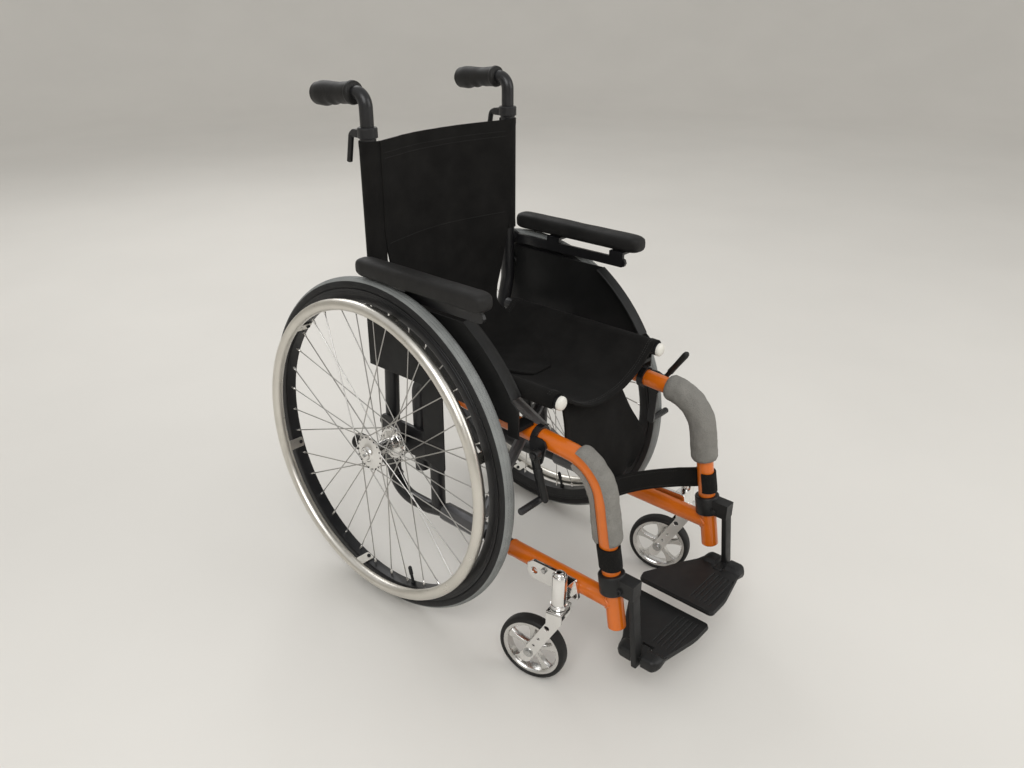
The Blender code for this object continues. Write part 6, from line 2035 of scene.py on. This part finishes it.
@dataclass
class Footrest(Assembly):
    """Clamp with its flat hanger bar, and the flip-up footplate whose two lobes hold the bar."""

    side: Side
    clamp_z: Pair = (0.19, 0.222)
    bolt_y: float = -0.4565
    hanger_u: float = 0.138
    hanger_y: float = -0.4765
    lean: float = 0.112
    bar_half: Pair = (0.0095, 0.0045)
    head_half: float = 0.011
    thick: float = 0.009
    hinge_u: float = 0.1115
    front_y: float = -0.5365
    rear_y: float = -0.395
    inner_u: float = 0.001
    lobe_u: float = 0.142
    lobe_y: Pair = (-0.524, -0.451)
    lobe_rise: float = 0.006
    lobe_drop: float = 0.0145
    lug_half: float = 0.0065
    side_gap: float = 0.003
    grooves: int = 5
    groove_pitch: float = 0.0085

    def top(self) -> float:
        """Height of this footplate's top face."""
        return 0.09 if self.side is Side.RIGHT else 0.11

    def bar_y(self, z: float) -> float:
        """Place of the leaning bar at height z."""
        return self.hanger_y + self.lean * (z - self.clamp_z[0])

    def hanger(self) -> Piece:
        """The clamp with its head and bolt, the flat bar and the hinge lug.

        Returns:
            The piece.
        """
        (low, high), u, hinge = self.clamp_z, self.hanger_u, self.hinge_u
        ends = [Vector((PLAN.side_u, PLAN.post_y(z), z)) for z in self.clamp_z]
        marks = [(0, 0.0145), (0, 0.0193), (0.05, 0.0205), (0.95, 0.0205), (1, 0.0193), (1, 0.0145)]
        parts = [turned(*ends, marks, 40)]
        front = self.bar_y(high) - self.bar_half[1] - 0.003
        parts.append(block((u - self.head_half, front, low + 0.005), (u + self.head_half, PLAN.post_y(low), high)))
        section = rounded(*self.bar_half, 0.0018)
        levels = (high - 0.002, self.top() - self.lobe_drop)
        parts.append(skin([[(u + a, self.bar_y(z) + b, z) for a, b in section] for z in levels]))
        z = self.top() - self.thick / 2
        near, far = self.bar_y(z) - self.lug_half, self.bar_y(z) + self.lug_half
        parts.append(rod((hinge, near, z), (hinge, far, z), 0.0055, 24))
        parts.append(block((hinge, near, z - 0.005), (u, far, z + 0.005)))
        bolt_z, reach = (low + high) / 2 - 0.004, self.head_half + 0.0035
        marks = [(0, 0.0048), (0.03, 0.0055), (0.97, 0.0055), (1, 0.0048), (1, 0.0029), (0.93, 0.0026)]
        bolt = turned((u - reach, self.bolt_y, bolt_z), (u + reach, self.bolt_y, bolt_z), marks, 24)
        mesh = merged(*parts, bolt, slots=[0] * len(parts) + [1])
        return self.fit("flat_hanger", mesh, (PLASTIC, SIDEWALL), "footrest_hanger", bevel=0.0012)

    def lobe(self, near: float, far: float) -> Mesh:
        """Raised end beside the bar, flat towards it and rounded away from it.

        Args:
            near: Its flat face along Y.
            far: Its rounded end.

        Returns:
            The mesh.
        """
        rings = []
        top = self.top()
        for i in range(25):
            inset = 0.01 * max(0.0, i / 12 - 1) ** 2.9
            out, low, high = self.lobe_u - inset, top - self.lobe_drop + inset * 0.5, top + self.lobe_rise - inset * 0.6
            ring = arc((out - 0.005, low + 0.005), 0.005, -90, 0, 5) + arc((out - 0.006, high - 0.006), 0.006, 0, 90, 8)
            for k in range(9):
                fall = 0.5 + 0.5 * cos(pi * k / 8)
                ring.append((0.121 - 0.011 * k / 8, top - 0.001 + (high - top + 0.001) * fall))
            ring += [(0.104, top - 0.002), (0.104, low + 0.007)]
            rings.append([(u, near + (far - near) * i / 24, z) for u, z in ring])
        return skin(rings)

    def plate(self) -> Piece:
        """Moulded deck with ribs along its front, two lobes, the hinge pin and a screw.

        Returns:
            The piece.
        """
        top, low, outer = self.top(), self.top() - self.thick, self.lobe_u - 0.002
        z, slot_u = top - self.thick / 2, self.hinge_u - 0.007
        slot = [self.bar_y(z) + s * (self.lug_half + self.side_gap) for s in (-1, 1)]
        corners = [
            (outer, slot[1], 0), (outer, self.lobe_y[1] - 0.003, 0), (0.112, self.rear_y - 0.05, 0),
            (0.085, self.rear_y - 0.034, 0), (0.018, self.rear_y, 0), (self.inner_u, self.rear_y - 0.004, 0),
            (self.inner_u, self.front_y, 0), (0.045, self.front_y, 0), (0.126, self.front_y + 0.0165, 0),
            (outer, self.front_y + 0.034, 0), (outer, slot[0], 0),
        ]
        path = bent(corners, [0.006, 0.02, 0.04, 0.012, 0.01, 0.008, 0.06, 0.012, 0.008], 8)
        edge = [(p.x, p.y) for p in path] + [(slot_u, slot[0]), (slot_u, slot[1])]
        left, right = self.inner_u + 0.014, 0.094
        gaps = []
        for k in range(self.grooves):
            y = self.front_y + 0.012 + self.groove_pitch * k + 0.00175
            gaps.append([((left + right) / 2 + a, y + b) for a, b in rounded((right - left) / 2, 0.00175, 0.0016)])
        turn = Matrix(((0, 1, 0, 0), (0, 0, 1, 0), (1, 0, 0, 0), (0, 0, 0, 1)))
        parts = [moved(stamped(edge, [], low, top - 0.0015, 0.003), turn)]
        parts.append(moved(stamped(shrunk(edge, 0.0012), gaps, top - 0.005, top, 0.0006), turn))
        parts += [self.lobe(slot[0], self.lobe_y[0]), self.lobe(slot[1], self.lobe_y[1])]
        parts.append(rod((self.hinge_u, slot[0] - 0.004, z), (self.hinge_u, slot[1] + 0.004, z), 0.003, 16))
        spot, high = (0.1235, slot[0] - 0.011), top + self.lobe_rise
        marks = [(0, 0.0034), (1, 0.0034), (1, 0.002), (0.4, 0.0018)]
        screw = turned((*spot, high - 0.002), (*spot, high + 0.0004), marks, 16)
        mesh = merged(*parts, screw, slots=[0] * len(parts) + [1])
        return self.fit("ribbed_footplate", mesh, (PLASTIC, SIDEWALL), "footplate", angle=40)

    def pieces(self) -> list[Piece]:
        """Builds this sub-assembly."""
        return [self.hanger(), self.plate()]


@dataclass
class CalfStrap(Assembly):
    """Webbing strap looped round both front posts and hanging slack behind the calves."""

    thick: float = 0.003
    height: float = 0.034
    middle_z: float = 0.2495
    back_y: float = -0.325
    power: float = 1.6
    keep: float = 0.57
    join_u: float = 0.118

    def lines(self) -> tuple[list[Pair], list[Pair]]:
        """The left loop round the post and the slack from there to the middle, seen from above.

        Returns:
            The two plans.
        """
        ring = 0.0162
        centre = PLAN.post_y(self.middle_z)
        loop = arc((PLAN.side_u, centre), ring, -176, 97, 24)
        span = [self.join_u * (1 - i / 36) for i in range(37)]
        top = centre + ring
        slack = [(x, self.back_y + (top - self.back_y) * (x / PLAN.side_u) ** self.power) for x in span]
        return loop, slack

    def sheet_of(self, line: Sequence[Pair]) -> Grid:
        """The strap's grid over a plan line.

        Args:
            line: The (x, y) points of the line.

        Returns:
            The grid.
        """
        rows = []
        for k in range(9):
            rise, row = self.height * (k / 8 - 0.5), []
            for x, y in line:
                push = 0.0012 * noise.noise(Vector((x * 18, rise * 30, 4)))
                sag = 0.0016 * noise.noise(Vector((x * 12, 0, 2)))
                row.append(Vector((x, y + PLAN.post_lean * rise + push, self.middle_z + rise + sag)))
            rows.append(row)
        return rows

    def pieces(self) -> list[Piece]:
        """Builds this sub-assembly.

        Returns:
            The pieces.
        """
        loop, inner = self.lines()
        span = self.sheet_of([*inner, *[(-x, y) for x, y in reversed(inner[:-1])]])
        lines = [stitched(span, row, s * 0.0017, 1) for row in (1, 7) for s in (-1, 1)]
        mesh = merged(cloth(span, self.thick), *lines, slots=[0, 1, 1, 1, 1])
        strap = put("strap_span", mesh, (WEBBING, THREAD), "right_side", instead_of=("calf_strap",), angle=60)
        loops = []
        for self.side in Side:
            body = "right_side" if self.side is Side.RIGHT else "left_side"
            mesh = cloth(self.sheet_of(loop + inner[:2]), self.thick + 0.0006)
            loops.append(put(self.named("strap_loop"), mesh, WEBBING, body, self.side, angle=60))
        anchor = (-self.join_u, PLAN.post_y(self.middle_z) + CHAIR_Y, self.middle_z)
        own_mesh(strap)
        return [strap, *loops]


@dataclass
class Studio:
    """Pale floor, soft lamps and the camera."""

    floor_r: float = 6.0
    wall_r: float = 3.0
    wall_top: float = 5.0
    camera_place: Triple = (-0.9943, -0.86915, 1.0135)
    yaw_deg: float = 48.648
    pitch_deg: float = -25.614
    roll_deg: float = 0.14
    lens_px: float = 845.2
    image_px: float = 1024.0

    def floor(self) -> None:
        """A round floor that curves up into a wall all round."""
        profile = [(0.05, 0.0), (0.5, 0.0), (1.5, 0.0), (3.0, 0.0), (self.floor_r, 0.0)]
        profile += [(self.floor_r + x, z) for x, z in arc((0, self.wall_r), self.wall_r, -85, 0, 16)]
        profile.append((self.floor_r + self.wall_r, self.wall_top))
        mesh = skin([[Vector((x, y, z)) for x, y in circle(r, 96)] for r, z in profile], caps=False)
        bm = bmesh.new()
        bm.from_mesh(mesh)
        bm.verts.ensure_lookup_table()
        bm.faces.new(bm.verts[:96])
        bmesh.ops.recalc_face_normals(bm, faces=bm.faces)
        bm.to_mesh(mesh)
        bm.free()
        mesh.materials.append(material_of(FLOOR))
        mesh.shade_smooth()
        piece = bpy.data.objects.new("floor", mesh)
        bpy.context.scene.collection.objects.link(piece)

    def lamp(self, name: str, place: Triple, size: float, power: float, target: Triple = (0, 0, 0.4)) -> None:
        """A square soft lamp aimed at a point.

        Args:
            name: The lamp's name.
            place: Where it stands.
            size: Its side.
            power: Its strength in watts.
            target: What it faces.
        """
        lamp = bpy.data.lights.new(name, "AREA")
        lamp.size = size
        lamp.energy = power
        made = bpy.data.objects.new(name, lamp)
        made.location = place
        made.rotation_euler = (Vector(target) - Vector(place)).to_track_quat("-Z", "Y").to_euler()
        bpy.context.scene.collection.objects.link(made)

    def lights(self) -> None:
        """Soft key, fill and back lamps with an even pale world."""
        self.lamp("key_lamp", (-2.4, -1.6, 2.9), 2.2, 62.0)
        self.lamp("fill_lamp", (1.6, -3.0, 1.9), 2.4, 34.0)
        self.lamp("back_lamp", (1.0, 2.8, 2.6), 2.0, 30.0)
        world = bpy.data.worlds.new("studio")
        world.use_nodes = True
        background = world.node_tree.nodes["Background"]
        background.inputs["Color"].default_value = (1.0, 0.99, 0.97, 1.0)
        background.inputs["Strength"].default_value = 0.62
        bpy.context.scene.world = world

    def camera(self) -> None:
        """The camera at the photograph's angle."""
        lens = bpy.data.cameras.new("camera")
        lens.sensor_width = 36.0
        lens.lens = self.lens_px / self.image_px * lens.sensor_width
        yaw, pitch = radians(self.yaw_deg), radians(self.pitch_deg)
        look = Vector((sin(yaw) * cos(pitch), cos(yaw) * cos(pitch), sin(pitch)))
        made = bpy.data.objects.new("camera", lens)
        made.location = self.camera_place
        turn = look.to_track_quat("-Z", "Y").to_matrix() @ Matrix.Rotation(radians(self.roll_deg), 3, "Z")
        made.rotation_euler = turn.to_euler()
        bpy.context.scene.collection.objects.link(made)
        bpy.context.scene.camera = made

    def build(self) -> None:
        """Sets up the whole studio."""
        self.camera()
        self.floor()
        self.lights()
        bpy.context.scene.view_settings.view_transform = "Standard"


def main() -> None:
    """Builds the studio and every sub-assembly, and reports each piece."""
    logging.basicConfig(level=logging.INFO, format="%(name)s: %(message)s")
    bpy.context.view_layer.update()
    Studio().build()
    seat = SeatUnit()
    assemblies: list[Assembly] = [seat, BackRest(seat), CalfStrap()]
    for side in Side:
        assemblies += [RearWheel(side), Castor(side), SideFrame(side), PushHandle(side)]
        assemblies += [Armrest(side), SideGuard(side), Brake(side), Footrest(side)]
    for assembly in assemblies:
        for piece in assembly.pieces():
            LOG.info("%s: %s, %d faces", type(assembly).__name__, piece.name, len(piece.data.polygons))
    bpy.context.view_layer.update()


if __name__ == "__main__":
    main()
